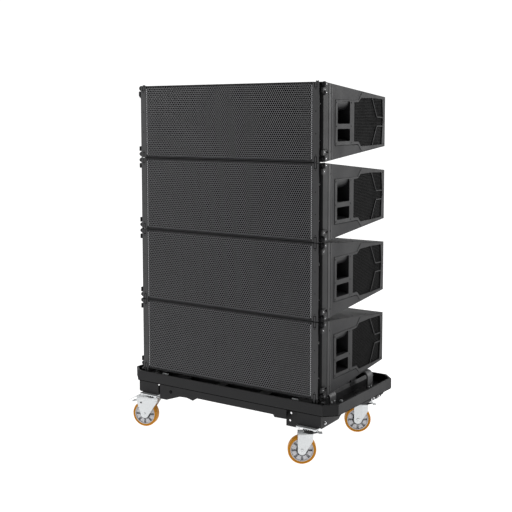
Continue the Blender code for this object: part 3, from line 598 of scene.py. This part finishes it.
def side_strips():
    """The two long rigging strips up the front of the side wall, and a lighter lip beside them, a painted
    highlight along their edge.
    """
    parts = []
    for y0, y1, slot in ((0.0175, 0.0605, 0), (0.0635, 0.085, 1), (0.089, 0.0935, 2)):
        outline = [(y0, drop(y0) + 0.0015), (y1, drop(y1) + 0.0015), (y1, HEIGHT - drop(y1) - 0.0015),
                   (y0, HEIGHT - drop(y0) - 0.0015)]
        parts.append((plate([rounded(outline, 0.0018)], HALF_W - 0.001, HALF_W + 0.0022, "yz", 0.0009), slot))
    return joined(parts)


def front_strip():
    """The steel strip between the end of the grille and the pin channel, with its countersunk screws."""
    x0, x1 = GRILLE_HALF_W + 0.0012, STRIP_HALF_W
    outline = rounded(quad(x0, x1, 0.0015, HEIGHT - 0.0015), 0.0015)
    parts = [plate([outline], -0.0012, 0.001, "xz", 0.0006)]
    for z in (0.03, 0.12, 0.215, HEIGHT - 0.03):
        parts.append((screw(FRONT, ((x0 + x1) / 2, -0.0012, z), 0.0028, 0.0009), 1))
    return joined(parts)


def top_screws():
    """Flush screws down both edges of the sloping top, and across its back."""
    spots = [(x, y) for x in (-0.478, 0.478) for y in (0.07, 0.2, 0.33, 0.46, 0.575)]
    spots += [(x, 0.584) for x in (-0.33, -0.18, 0.18, 0.33)]
    return joined([screw(Vector((0, SLOPE, 1)).normalized(), (x, y, HEIGHT - drop(y)), 0.0042, 0.0012)
                   for x, y in spots])


def side_screws():
    """The screws of the side frame, and two more through the rigging strips."""
    return joined([screw(RIGHT, (HALF_W + FRAME_T, y, z), 0.0038, 0.0014) for y, z in FRAME_SCREWS]
                  + [screw(RIGHT, (HALF_W + 0.0022, 0.085, z), 0.0045, 0.0016) for z in (0.2895, 0.043)])


def seam_shade_block():
    """A black block that closes the gap under a cabinet, behind its grille: painted shade that keeps the seam
    dark.
    """
    return block((-HALF_W + 0.034, 0.009, -0.0031), (HALF_W - 0.034, 0.018, 0.0006), 0.0006, 1)


def channel_bolts():
    """Bolts in the open channel at the front corner."""
    return joined([screw(FRONT, (0.4845, 0.0168, 0.247), 0.0055, 0.0045),
                   screw(FRONT, (0.4845, 0.0168, 0.091), 0.0035, 0.0025)])


def quick_pin(z, ring=True, latch=0):
    """A quick-release pin: knob, bright button, and perhaps a pull ring and a latch block above or below."""
    root = 0.493
    knob = [(0, 0), (0.0062, 0), (0.0062, 0.0062), (0.0112, 0.007), (0.012, 0.01), (0.012, 0.015),
            (0.01, 0.0185), (0.0052, 0.021), (0, 0.021)]
    button = [(0, 0.0206), (0.0026, 0.0206), (0.0026, 0.0222), (0.0016, 0.0232), (0, 0.0234)]
    place = along(RIGHT, (root, PIN_Y, z))
    parts = [turned(knob, place, 24), (turned(button, place, 16), 1)]
    if latch:
        low, high = sorted((z + latch * 0.0145, z + latch * 0.0375))
        face = HALF_W + 0.009
        parts += [block((HALF_W + 0.0004, 0.003, low), (face, 0.03, high), 0.003, 3),
                  (screw(RIGHT, (face, 0.016, (low + high) / 2), 0.0026, 0.0016), 1)]
    if ring:
        loop = [(root + 0.013 + 0.0024 * sin(a), PIN_Y - 0.0075 + 0.004 * cos(a),
                 z - 0.003 + 0.0078 * sin(a)) for a in around(20)]
        parts.append(tube(loop, 0.0007, True, 6))
    return joined(parts)


def lanyard(z):
    """The short wire loop that keeps a pin with its cabinet."""
    middle = z + 0.027
    loop = [(HALF_W + 0.0075 + 0.0015 * sin(2 * a), 0.033 + 0.013 * cos(a),
             middle + 0.0135 * sin(a)) for a in around(28)]
    anchor = screw(RIGHT, (HALF_W + 0.0018, 0.047, middle), 0.0034, 0.007)
    return joined([tube(loop, 0.0013, True, 8), anchor])


def link_slot_shade(base, up):
    """Black bars on the front strip round the slot that a link passes through, open towards the seam: painted
    shade for the slot's dark edges.
    """
    x0, x1, edge, mouth, cap, end = 0.4685, 0.4825, 0.0026, 0.0012, 0.0214, 0.024
    bars = ((x0, x0 + edge, mouth), (x1 - edge, x1, mouth), (x0, x1, cap))
    return joined([block((left, -0.0019, min(base + up * start, base + up * end)),
                         (right, -0.0006, max(base + up * start, base + up * end)), 0.0004, 1)
                   for left, right, start in bars])


def top_lug():
    """The pair of lugs standing up at the top cabinet's front corner, and the pin through them."""
    low, pin, high = HEIGHT - 0.004, HEIGHT + 0.0022, HEIGHT + 0.005
    lugs = [block((x, 0.005, low), (x + 0.004, 0.015, high), 0.001) for x in (0.4715, 0.4805)]
    return joined(lugs + [(rod((0.47, 0.01, pin), (0.486, 0.01, pin), 0.002), 1)])


def connector_details():
    """On the rear panel: two round sockets with keyed middles and contacts, and the panel's screws."""
    middle, x, parts = HEIGHT / 2, 0.25, []
    for z in (middle - 0.026, middle + 0.026):
        place = along(BACK, (x, DEPTH - 0.0013, z))
        bezel = [(0.0121, 0), (0.0169, 0), (0.0169, 0.001), (0.0155, 0.002), (0.0121, 0.002)]
        core = [(0.005, -0.0066), (0.0078, -0.0066), (0.0078, -0.0006), (0.0072, 0.0), (0.005, 0.0)]
        parts += [turned(bezel, place, 36, True), (turned(core, place, 28, True), 1)]
        for a in around(4, 0.5):
            cx, cz = x + 0.0098 * cos(a), z + 0.0098 * sin(a)
            parts.append((block((cx - 0.001, DEPTH - 0.0078, cz - 0.001),
                                (cx + 0.001, DEPTH - 0.004, cz + 0.001), 0.0003, 1), 2))
        key = (x - 0.0012, DEPTH - 0.0078, z + 0.0076), (x + 0.0012, DEPTH - 0.002, z + 0.012)
        parts.append((block(*key, 0.0003, 1), 1))
    return joined(parts + [(screw(BACK, (sx, DEPTH - 0.0043, middle + dz), 0.0036, 0.0018), 2)
                           for sx in (0.0885, 0.2, 0.3115) for dz in (-0.0535, 0.0535)])


def rear_cheeks():
    """Steel cheek plates beside the rear channel, bolted to the back wall."""
    parts = []
    for side in (-1, 1):
        x0, x1 = sorted((side * 0.0375, side * 0.064))
        low, high = drop(DEPTH) + 0.006, HEIGHT - drop(DEPTH) - 0.006
        outline = rounded(quad(x0, x1, low, high), 0.004)
        parts.append(plate([outline], DEPTH - 0.001, DEPTH + 0.0022, "xz", 0.0007))
        for k in range(4):
            z = low + 0.016 + (high - low - 0.032) * k / 3
            parts.append((screw(BACK, (side * 0.0508, DEPTH + 0.0022, z), 0.0046, 0.002), 1))
    return joined(parts)


def seat(number):
    """The body a cabinet rides on, and its own frame: middle in X, the grille's face, and its base."""
    low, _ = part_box(f"cabinet_{number}_enclosure")
    return "cart_base" if number == LOWEST else f"cabinet_{number}", Vector((0.0, low.y, low.z))


def build_cabinets():
    foam = block((-GRILLE_HALF_W + 0.004, 0.007, GRILLE_LOW + 0.004),
                 (GRILLE_HALF_W - 0.004, 0.013, GRILLE_HIGH - 0.004), 0.001, 1)
    vent_foam = block((HALF_W - 0.0048, 0.286, 0.058), (HALF_W - 0.004, 0.578, 0.2785))
    whole = (("grille", front_grille(), "grille"), ("grille_foam", foam, "foam"),
             ("grille_edge_highlight", grille_edge_highlight(), "edge"), ("top_screws", top_screws(), "dark"),
             ("connectors", connector_details(), ["link", "rubber", "bright"]),
             ("rear_cheeks", rear_cheeks(), ["strip", "dark"]), ("seam_shade_block", seam_shade_block(), "foam"))
    right = (("side_frame", side_frame(), "insert"), ("handle_cup", handle_cup(), "cup"),
             ("handle_bar", crossbar(), "insert"), ("vent_mesh", vent_sheet(), "vent"),
             ("vent_foam", vent_foam, "foam"), ("rigging_strips", side_strips(), ["strip", "rail", "lip"]),
             ("front_strip", front_strip(), ["front", "dark"]), ("side_screws", side_screws(), "dark"),
             ("channel_bolts", channel_bolts(), "bright"))
    sides = (("left", [(key, mirrored(mesh), look) for key, mesh, look in right]), ("right", right))
    for number in CABINETS:
        cabinet = f"cabinet_{number}"
        body, at = seat(number)
        dress(f"{cabinet}_enclosure", "shell", 0.0016)
        dress(f"{cabinet}_horn", "horn")
        dress(f"{cabinet}_connector_panel", "panel", 0.0005, 1)
        for key, mesh, look in whole if number < LOWEST else whole[:-1]:
            stands = (f"{cabinet}_front_grille",) if key == "grille" else ()
            put(f"{key}_{number}", mesh, look, body, at, stands_for=stands, weighted=key != "grille")
        for side, pieces in sides:
            dress(f"{cabinet}_woofer_{side}", "cone")
            for key, mesh, look in pieces:
                stands = (f"{cabinet}_side_panel_{side}",) if key == "side_frame" else ()
                put(f"{key}_{number}_{side}", mesh, look, body, at, stands_for=stands,
                    weighted=key != "vent_mesh")


def build_rigging():
    pin_z, socket_z, spare_z = 0.015, HEIGHT - 0.01, HEIGHT - 0.045
    pin = ["dark", "bright"]
    hinge = (("hinge_pin", quick_pin(pin_z, latch=1), pin), ("pin_lanyard", lanyard(pin_z), "dark"))
    fittings = (("link_slot_low", link_slot_shade(0.0, 1), "foam"),
                ("link_slot_high", link_slot_shade(HEIGHT, -1), "foam"),
                ("socket_pin", quick_pin(socket_z, latch=-1), pin))
    topmost = (("spare_pin", quick_pin(spare_z, False), pin), ("top_lug", top_lug(), pin))
    for number in CABINETS:
        body, at = seat(number)
        below, _ = seat(min(number + 1, LOWEST))
        for side in ("left", "right"):
            flip = mirrored if side == "left" else (lambda mesh: mesh)
            dress(f"front_link_{number}_{side}", "link", 0.0005, 1)
            for pieces, rides in ((hinge, below), (fittings, body)):
                for key, mesh, look in pieces:
                    put(f"{key}_{number}_{side}", flip(mesh), look, rides, at)
            for key, mesh, look in topmost if number == 1 else ():
                put(f"{key}_{side}", flip(mesh), look, body, at)
        if number < LOWEST:
            dress(f"rear_link_{number}", "link", 0.0008)


# ---- cart

RIM_HIGH = 0.274
RIM_LOW = 0.225
RIM_FRONT, RIM_REAR = cart_low.y - shell_low.y, cart_high.y - shell_low.y
LEG_LOW, LEG_OUT = cart_low.z, 0.514
RAIL_X, RAIL_TOP = (0.43, 0.463), 0.265
SADDLES = (((0.1, 0.152), (0.425, 0.497)), ((0.41, 0.458), (0.425, 0.52)))
STACK_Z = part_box("cabinet_4_enclosure")[0].z


def octagon(inset=0.0):
    """The rim's outline in X and depth, drawn inset from its outer face."""
    x, front, rear = cart_high.x - inset, RIM_FRONT + inset, RIM_REAR - inset
    cut = 0.05 + inset * (sqrt(2) - 2)
    right = [(x - cut, front), (x, front + cut), (x, rear - cut), (x - cut, rear)]
    return right + [(-a, b) for a, b in right[::-1]]


def saddle(y, x):
    """A grey strap bent over a cradle of the tray, with its two rivets."""
    (inner, outer), sheet, bend_r = x, 0.0072, 0.024
    face, top, low = outer + 0.0006, STACK_Z + drop(y[0]) - 0.0002, RIM_LOW + 0.008
    angles = [pi / 2 * k / 6 for k in range(7)]
    curve = [(face - bend_r * (1 - cos(a)), top - bend_r * (1 - sin(a))) for a in angles]
    under = [(cx - sheet * cos(a), cz - sheet * sin(a)) for (cx, cz), a in zip(curve, angles)]
    outline = [(face, low), *curve, (inner, top), (inner, top - sheet), *under[::-1], (face - sheet, low)]
    rivets = [(screw(RIGHT, (face, at, 0.253), 0.0042, 0.002), 1) for at in (y[0] + 0.014, y[1] - 0.014)]
    return joined([plate([outline], y[0] - 0.0006, y[1] + 0.0006, "xz", 0.0008), *rivets])


def gusset_bolts():
    """Bolts and plates on the outer gussets of the right legs."""
    return joined([hex_nut(RIGHT, (LEG_OUT, 0.026, 0.187), 0.0055, 0.0045, 0.0075),
                   block((LEG_OUT - 0.0005, 0.454, 0.176), (LEG_OUT + 0.0045, 0.485, 0.192), 0.0012),
                   (screw(RIGHT, (LEG_OUT + 0.0045, 0.4695, 0.184), 0.005, 0.003), 1),
                   hex_nut(RIGHT, (LEG_OUT, 0.53, 0.183), 0.0068, 0.006, 0.009)])


def rail_caps():
    """A lighter strip along the long rail's top, painted light for its lit top face, and the pad the bottom
    cabinet sits on.
    """
    (x0, x1), pad_y = RAIL_X, 0.17
    # the strip: lighter strap colour painted on as the light falling on the rail's top
    strip = (x0 + 0.001, 0.08, RAIL_TOP - 0.001), (x1 + 0.0012, RIM_REAR - 0.01, RAIL_TOP + 0.0016)
    pad = (x0 + 0.006, pad_y, RAIL_TOP), (x1 + 0.004, 0.235, STACK_Z + drop(pad_y) - 0.0006)
    return joined([block(*strip, 0.0006), block(*pad, 0.0025, 3)])


def hoop(outer, inner, low, high, bevel):
    """A band all round the rim, between two insets from its outer face."""
    return plate([octagon(outer), octagon(inner)[::-1]], low, high, "xy", bevel)


def corner_weld():
    """Weld beads up the vertical corners of the rim."""
    heights = [RIM_LOW + 0.002 + 0.044 * k / 8 for k in range(9)]
    return joined([tube([(x, y, z) for z in heights], 0.0022) for x, y in octagon(-0.0012)])


def lug_plate():
    """Doubler and boss on the lug that takes the bottom cabinet's link pin."""
    return joined([block((0.489, 0.006, RIM_LOW + 0.01), (0.4925, 0.036, 0.286), 0.0008),
                   collar(0.0075, 0.0105, 0, 0.003, along(RIGHT, (0.492, PIN_Y, 0.2785)), 24)])


def floor_rivets():
    """Rivets down the right of the floor and along the ledge."""
    spots = [(0.535, y, RIM_LOW + 0.0085, 0.0045, 0.0022) for y in (0.13, 0.27, 0.41, 0.54)]
    spots += [(x, 0.067, 0.268, 0.0035, 0.0016) for x in (0.395, 0.25, 0.11, 0.0)]
    return joined([screw(UP, (x, y, z), radius, height, False) for x, y, z, radius, height in spots])


def tray_clips():
    """A sprung steel clip in the ledge's end slot and a bolt head on the floor."""
    return joined([block((0.353, 0.012, 0.2675), (0.384, 0.0165, 0.275), 0.0008),
                   hex_nut(UP, (0.49, 0.212, 0.2335), 0.007, 0.0055, 0.0095)])


def rear_handle():
    """A pull handle on the rear of the rim, with a round foot at each end."""
    back, middle = RIM_REAR + 0.0014, 0.25
    bend = [(0.085, -0.002), (0.085, 0.006), (0.08, 0.0085)]
    path = [(-x, back + y, middle) for x, y in bend] + [(x, back + y, middle) for x, y in bend[::-1]]
    foot = [(0, -0.001), (0.011, -0.001), (0.011, 0.0016), (0.0085, 0.0026), (0, 0.0026)]
    return joined([tube(path, 0.0042, False, 14)]
                  + [turned(foot, along(BACK, (x, back, middle)), 24) for x in (-0.085, 0.085)])


def build_cart():
    at, body = (0, shell_low.y, 0), "cart_base"
    dress("cart_tray", "cart", 0.001)
    grommet = collar(0.004, 0.0075, 0, 0.0012, along(FRONT, (-0.3165, RIM_FRONT, 0.1967)), 24)
    band = hoop(-0.0022, 0.0004, RIM_LOW + 0.002, RIM_HIGH, 0.0007)
    # a black strip under the band: painted shadow in the groove below it
    seam = hoop(-0.0005, 0.0012, RIM_LOW - 0.0012, RIM_LOW + 0.0026, 0.0002)
    lip = hoop(-0.0026, 0.0062, RIM_HIGH - 0.002, RIM_HIGH + 0.0008, 0.0007)
    for name, mesh, look in (("rim_band", band, "cart"), ("rim_shadow_groove", seam, "foam"),
                             ("skirt_grommet", grommet, "foam"), ("rim_lip", lip, "cart"),
                             ("rim_corners", corner_weld(), "cart"), ("rear_handle", rear_handle(), "dark")):
        put(name, mesh, look, body, at)
    for key, mesh, look in (("saddle_front", saddle(*SADDLES[0]), ["strap", "zinc"]),
                            ("saddle_rear", saddle(*SADDLES[1]), ["strap", "zinc"]),
                            ("leg_bolts", gusset_bolts(), ["bright", "dark"]),
                            ("rail_caps", rail_caps(), "strap"), ("lug_plate", lug_plate(), "dark"),
                            ("floor_rivets", floor_rivets(), "dark"), ("tray_clips", tray_clips(), "zinc")):
        put(f"{key}_left", mirrored(mesh), look, body, at)
        put(f"{key}_right", mesh, look, body, at)


# ---- casters

plate_low, plate_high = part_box("caster_front_right_top_plate")
wheel_low, wheel_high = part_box("caster_front_right_wheel")
PLATE_HALF = (plate_high.x - plate_low.x) / 2, (plate_high.y - plate_low.y) / 2
PLATE_TOP, WHEEL_R = plate_high.z, wheel_high.z / 2
TRAIL = ((plate_low + plate_high) / 2 - (wheel_low + wheel_high) / 2).xy.length
CROWN_TOP, FORK_HALF, FORK_R = 0.1506, 0.0273, 0.0065
LOCKING = ("front_left", "rear_left")


def caster_place(corner):
    """Where a caster's swivel stands and which way it trails."""
    centre, hub = (sum(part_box(f"caster_{corner}_{part}"), Vector()) / 2 for part in ("top_plate", "wheel"))
    away = hub - centre
    return (centre.x, centre.y, 0.0), atan2(away.y, away.x)


def symmetric(half):
    """A profile and its reflection across the wheel's middle."""
    return [(radius, -height) for radius, height in half] + half[::-1]


def wheel_piece():
    """Tread, rim ring, web, eight raised pads a side, boss and bearing seal, turned about the axle."""
    axis, r = along(BACK), WHEEL_R
    tread = [(r - 0.0122, 0.0176), (r - 0.0045, 0.019), (r - 0.0014, 0.0176), (r, 0.0145)]
    ring = [(r - 0.012, 0.018), (r - 0.0146, 0.018), (r - 0.0166, 0.016), (r - 0.0178, 0.006)]
    web = [(0.015, 0.009), (r - 0.0165, 0.009)]
    boss = [(0.0066, 0.0215), (0.0165, 0.0215), (0.0188, 0.0195), (0.0195, 0.015)]
    seal = [(0.0192, 0.0175), (0.0238, 0.015), (0.025, 0.004)]
    # the web takes the darker recess finish, painted shade between the pads
    profiles = (tread, 72, 0), (ring, 72, 1), (web, 48, 2), (boss, 48, 1), (seal, 48, 3)
    parts = [(turned(symmetric(half), axis, steps, True), slot) for half, steps, slot in profiles]
    near, far = 0.0265, r - 0.0168
    for middle in around(8, 0.5):
        pad = [(radius * cos(middle + t), radius * sin(middle + t))
               for radius, spans in ((near, (-0.24, 0.0, 0.24)), (far, (0.27, 0.13, 0.0, -0.13, -0.27)))
               for t in spans]
        parts.append((plate([pad], -0.015, 0.015, "xy", 0.001, axis), 1))
    return joined(parts)


def flat_sheet(outlines, creases_u=(), creases_v=()):
    """A flat blank, filled and creased where it will be bent."""
    bm = bmesh.new()
    for points in outlines:
        verts = [bm.verts.new((a, b, 0)) for a, b in points]
        for k in range(len(verts)):
            bm.edges.new((verts[k - 1], verts[k]))
    bmesh.ops.triangle_fill(bm, use_beauty=True, edges=bm.edges[:])
    for normal, creases in (((1, 0, 0), creases_u), ((0, 1, 0), creases_v)):
        for at in creases:
            cut(bm, Vector(normal), at)
    return bm


def fork_sheet(heel, nose, crease, crown):
    """The fork, one blank folded down over the wheel: its sides meet a round end at the axle."""
    end_r = 0.019

    def girth(z):
        return FORK_HALF - FORK_R + FORK_R * pi / 2 + crown - FORK_R - z

    arc = [(TRAIL + end_r * cos(a), girth(WHEEL_R + end_r * sin(a)))
           for a in (radians(d) for d in range(-170, 11, 15))]
    half = [(heel[0], girth(heel[1]))] + arc + [(nose[0], girth(nose[1]))]
    blank = half + [(u, -v) for u, v in half[::-1]]
    folds = folded(FORK_HALF, FORK_R) + [girth(crown - 0.012), girth(crown - 0.02)]
    flat = flat_sheet([blank], [crease, crease + 0.004], [s * f for f in folds for s in (1, -1)])

    def place(u, v):
        y, back, ny, nz = bend(v, FORK_HALF, FORK_R)
        lean = min(1.0, max(0.0, back - 0.006) / 0.012) * max(0.0, crease - u) * 0.13
        return Vector((u, y - copysign(lean, y), crown - back)), Vector((0, ny, nz))

    return thickened(flat, place, 0.0034)


def fork_piece(locking):
    """A fork with its swivel head, king nut and axle. The locking one has ribs and beads pressed into it."""
    crown = CROWN_TOP if locking else 0.1415
    sheet = (fork_sheet((-0.031, 0.129), (0.077, 0.124), -0.06, crown) if locking
             else fork_sheet((-0.01, 0.105), (0.057, 0.118), 0.016, crown))
    head = [(0, crown - 0.002), (0.032, crown - 0.002), (0.0335, crown + 0.001), (0.0335, 0.1508),
            (0.0345, 0.1512), (0.0345, 0.152), (0.033, 0.1524), (0, 0.1524)]
    parts = [sheet, (turned(head, steps=40), 1), hex_nut(DOWN, (0, 0, crown - 0.0034), 0.0105, 0.0065, 0.015)]
    for a in () if locking else around(3, 0.2):
        way = Vector((cos(a), sin(a), 0))
        parts.append(screw(way, way * 0.0334 + Vector((0, 0, 0.1466)), 0.003, 0.0018))
    cap = [(0, -0.004), (0.0088, -0.004), (0.0088, 0.0006), (0.007, 0.0018), (0.0026, 0.0018),
           (0.0022, 0.0006), (0, 0.0006)]
    stud = quad(0, 0.004, -0.003, 0.0012)
    rib = rounded([(-0.0305, 0.129), (-0.0235, 0.133), (0.029, 0.048), (0.023, 0.046)], 0.002)
    for side in (-1, 1):
        out, face = (0, side, 0), side * FORK_HALF
        parts.append(turned(cap, along(out, (TRAIL, face, WHEEL_R)), 28))
        if locking:
            low, high = sorted((face - side * 0.001, face + side * 0.0022))
            bead = [(-0.026 + 0.1 * k / 10, face - side * 0.0022, CROWN_TOP - 0.0022) for k in range(11)]
            parts += [(turned(stud, along(out, (0.054, face, 0.12)), 20), 1),
                      plate([rib], low, high, "xz", 0.0008), tube(bead, 0.0032, False, 10)]
    half = FORK_HALF + 0.001
    return joined(parts + [rod((TRAIL, -half, WHEEL_R), (TRAIL, half, WHEEL_R), 0.0058)])


def top_plate_piece():
    """Top plate with its bolts, the ball race under it and the balls."""
    (hx, hy), under = PLATE_HALF, PLATE_TOP - 0.0048
    outline = rounded(quad(-hx, hx, -hy, hy), 0.012)
    cup = [(0, under + 0.001), (0.03, under + 0.001), (0.0358, under - 0.003), (0.0358, 0.1585),
           (0.034, 0.1572), (0, 0.1572)]
    core = quad(0, 0.03, 0.1528, 0.1575)
    parts = [plate([outline], under, PLATE_TOP, "xy", 0.0009), (turned(cup, steps=48), 1),
             (turned(core, steps=40), 1)]
    ball_r, race_r, balls = 0.0021, 0.0322, 22
    ball = [(0, -ball_r)] + [(ball_r * cos(t), ball_r * sin(t)) for t in (-0.9, -0.4, 0.0, 0.4, 0.9)]
    for a in around(balls):
        place = Matrix.Translation((race_r * cos(a), race_r * sin(a), 0.155))
        parts.append(turned(ball + [(0, ball_r)], place, 10))
    return joined(parts + [hex_nut(DOWN, (x, y, under), 0.0068, 0.0052, 0.009)
                           for x in (-0.041, 0.041) for y in (-0.034, 0.034)])


def pedal(pivot_x, half_w, levers, extra):
    """Levers bent from plate on one pivot, as (outline, half width, bevel), and what is fixed to them."""
    pivot_z = 0.133
    return joined([rod((pivot_x, -half_w, pivot_z), (pivot_x, half_w, pivot_z), 0.0055)]
                  + [plate([outline], -half, half, "xz", bevel) for outline, half, bevel in levers] + extra)


def long_pedal():
    """Two long levers: the thin upper one releases, the lower one locks and has four ridges."""
    upper = [(0.046, 0.1365), (0.06, 0.144), (0.085, 0.1425), (0.11, 0.13), (0.129, 0.119), (0.1302, 0.121),
             (0.111, 0.1324), (0.086, 0.1452), (0.058, 0.1466), (0.044, 0.139)]
    lower = [(0.046, 0.129), (0.07, 0.126), (0.09, 0.1205), (0.108, 0.1165), (0.1095, 0.1192),
             (0.092, 0.1235), (0.07, 0.1292), (0.046, 0.1325)]
    ridges = [block((x, -0.015, z - 0.0012), (x + 0.0016, 0.015, z + 0.001), 0.0003, 1)
              for x, z in ((0.093 + 0.0036 * k, 0.1231 - 0.0036 * k * 0.24) for k in range(4))]
    return pedal(0.05, 0.0229, [(upper, 0.013, 0.0005), (lower, 0.017, 0.0008)], ridges)


def short_pedal():
    """A short lever with a ridged foot plate."""
    lever = [(0.001, 0.13), (-0.012, 0.1345), (-0.03, 0.135), (-0.05, 0.1335), (-0.0505, 0.1356),
             (-0.03, 0.1385), (-0.012, 0.1382), (-0.003, 0.1365)]
    foot = [block((-0.051, -0.015, 0.133), (-0.034, 0.015, 0.1352), 0.001)]
    foot += [block((x, -0.0135, 0.1349), (x + 0.0016, 0.0135, 0.1362), 0.0004, 1)
             for x in (-0.0495 + 0.0038 * k for k in range(4))]
    return pedal(-0.003, 0.019, [(lever[::-1], 0.011, 0.0008)], foot)


def build_casters():
    wheel, top = wheel_piece(), top_plate_piece()
    forks = {locking: fork_piece(locking) for locking in (True, False)}
    pedals = {True: long_pedal(), False: short_pedal()}
    for corner in CORNERS:
        at, turn = caster_place(corner)
        locking, caster = corner in LOCKING, f"caster_{corner}"
        hub = Vector(at) + Matrix.Rotation(turn, 3, "Z") @ Vector((TRAIL, 0, WHEEL_R))
        put(f"{caster}_plate", top, ["zinc", "dark"], "cart_base", at, stands_for=(f"{caster}_top_plate",))
        for key, mesh, look, body, where, stands in (
                ("yoke", forks[locking], ["zinc", "dark"], "swivel", at, "fork"),
                ("tyre", wheel, ["tyre", "hub", "recess", "rubber"], "wheel", hub, "wheel"),
                ("lever", pedals[locking], "zinc", "pedal", at, "brake_pedal")):
            put(f"{caster}_{key}", mesh, look, f"{caster}_{body}", where, turn, (f"{caster}_{stands}",))


# ---- camera, light and floor

TOWARDS_CAMERA, WHITE = (0.56, -0.83, 0.0), (1.0, 1.0, 1.0, 1.0)


def toward(tree, coords, near, far, value_near, value_far):
    """A value that changes as a point or direction comes round to the camera's side of the studio."""
    dot = add_node(tree, "ShaderNodeVectorMath", {0: coords, 1: TOWARDS_CAMERA}, operation="DOT_PRODUCT")
    return ranged(tree, dot.outputs["Value"], near, far, value_near, value_far)


def build_world():
    """White walls all round, dimmer overhead and darker on the side where the camera stands."""
    world = having(bpy.data.worlds.new("studio"), use_nodes=True)
    tree = world.node_tree
    coords = add_node(tree, "ShaderNodeTexCoord").outputs["Generated"]
    height = add_node(tree, "ShaderNodeSeparateXYZ", {"Vector": coords}).outputs["Z"]
    factors = {0: ranged(tree, height, 0.22, 0.6, 1.1, 0.40), 1: toward(tree, coords, 0.1, 0.9, 1.0, 0.12)}
    strength = add_node(tree, "ShaderNodeMath", factors, operation="MULTIPLY").outputs["Value"]
    fed(tree, tree.nodes["Background"], {"Color": WHITE, "Strength": strength})
    bpy.context.scene.world = world


def studio_floor():
    """A floor lit from within so that it stays white, fading towards the camera's side."""
    material, tree, shader = principled("studio_floor")
    coords = add_node(tree, "ShaderNodeTexCoord").outputs["Object"]
    glow = toward(tree, coords, 1.3, 3.2, 1.0, 0.3)
    fed(tree, shader, {"Base Color": (0.35, 0.35, 0.35, 1.0), "Roughness": 0.9, "Specular IOR Level": 0.0,
                       "Emission Color": WHITE, "Emission Strength": glow})
    return material


LAMPS = (  # name, place, watts, size
    ("right_rear", (3.6, 3.4, 1.9), 110, 3.0),
    ("front_left", (-3.4, -3.6, 2.4), 60, 2.6),
    ("top", (0.6, 0.4, 4.4), 30, 2.4),
)


def build_view():
    cam = having(bpy.data.cameras.new("camera"), sensor_width=36.0, lens=66.61, shift_x=0.0008,
                 shift_y=-0.0984)
    turn = [radians(angle) for angle in (84.786, 0.043, 34.243)]
    bpy.context.scene.camera = placed("camera", cam, (2.5169, -3.7198, 1.4978), turn)
    bpy.context.scene.view_settings.view_transform = "Standard"
    build_world()
    for name, where, energy, size in LAMPS:
        lamp = having(bpy.data.lights.new(name, "AREA"), energy=energy, size=size)
        aim = (Vector((0, 0, 0.8)) - Vector(where)).to_track_quat("-Z", "Y").to_euler()
        placed(name, lamp, where, aim)
    floor_mesh = drawn(lambda bm: bmesh.ops.create_grid(bm, x_segments=1, y_segments=1, size=60.0))
    floor_mesh.materials.append(studio_floor())
    placed("floor", floor_mesh, (0, 0, -0.0005))


build_cabinets()
build_rigging()
build_cart()
build_casters()
build_view()
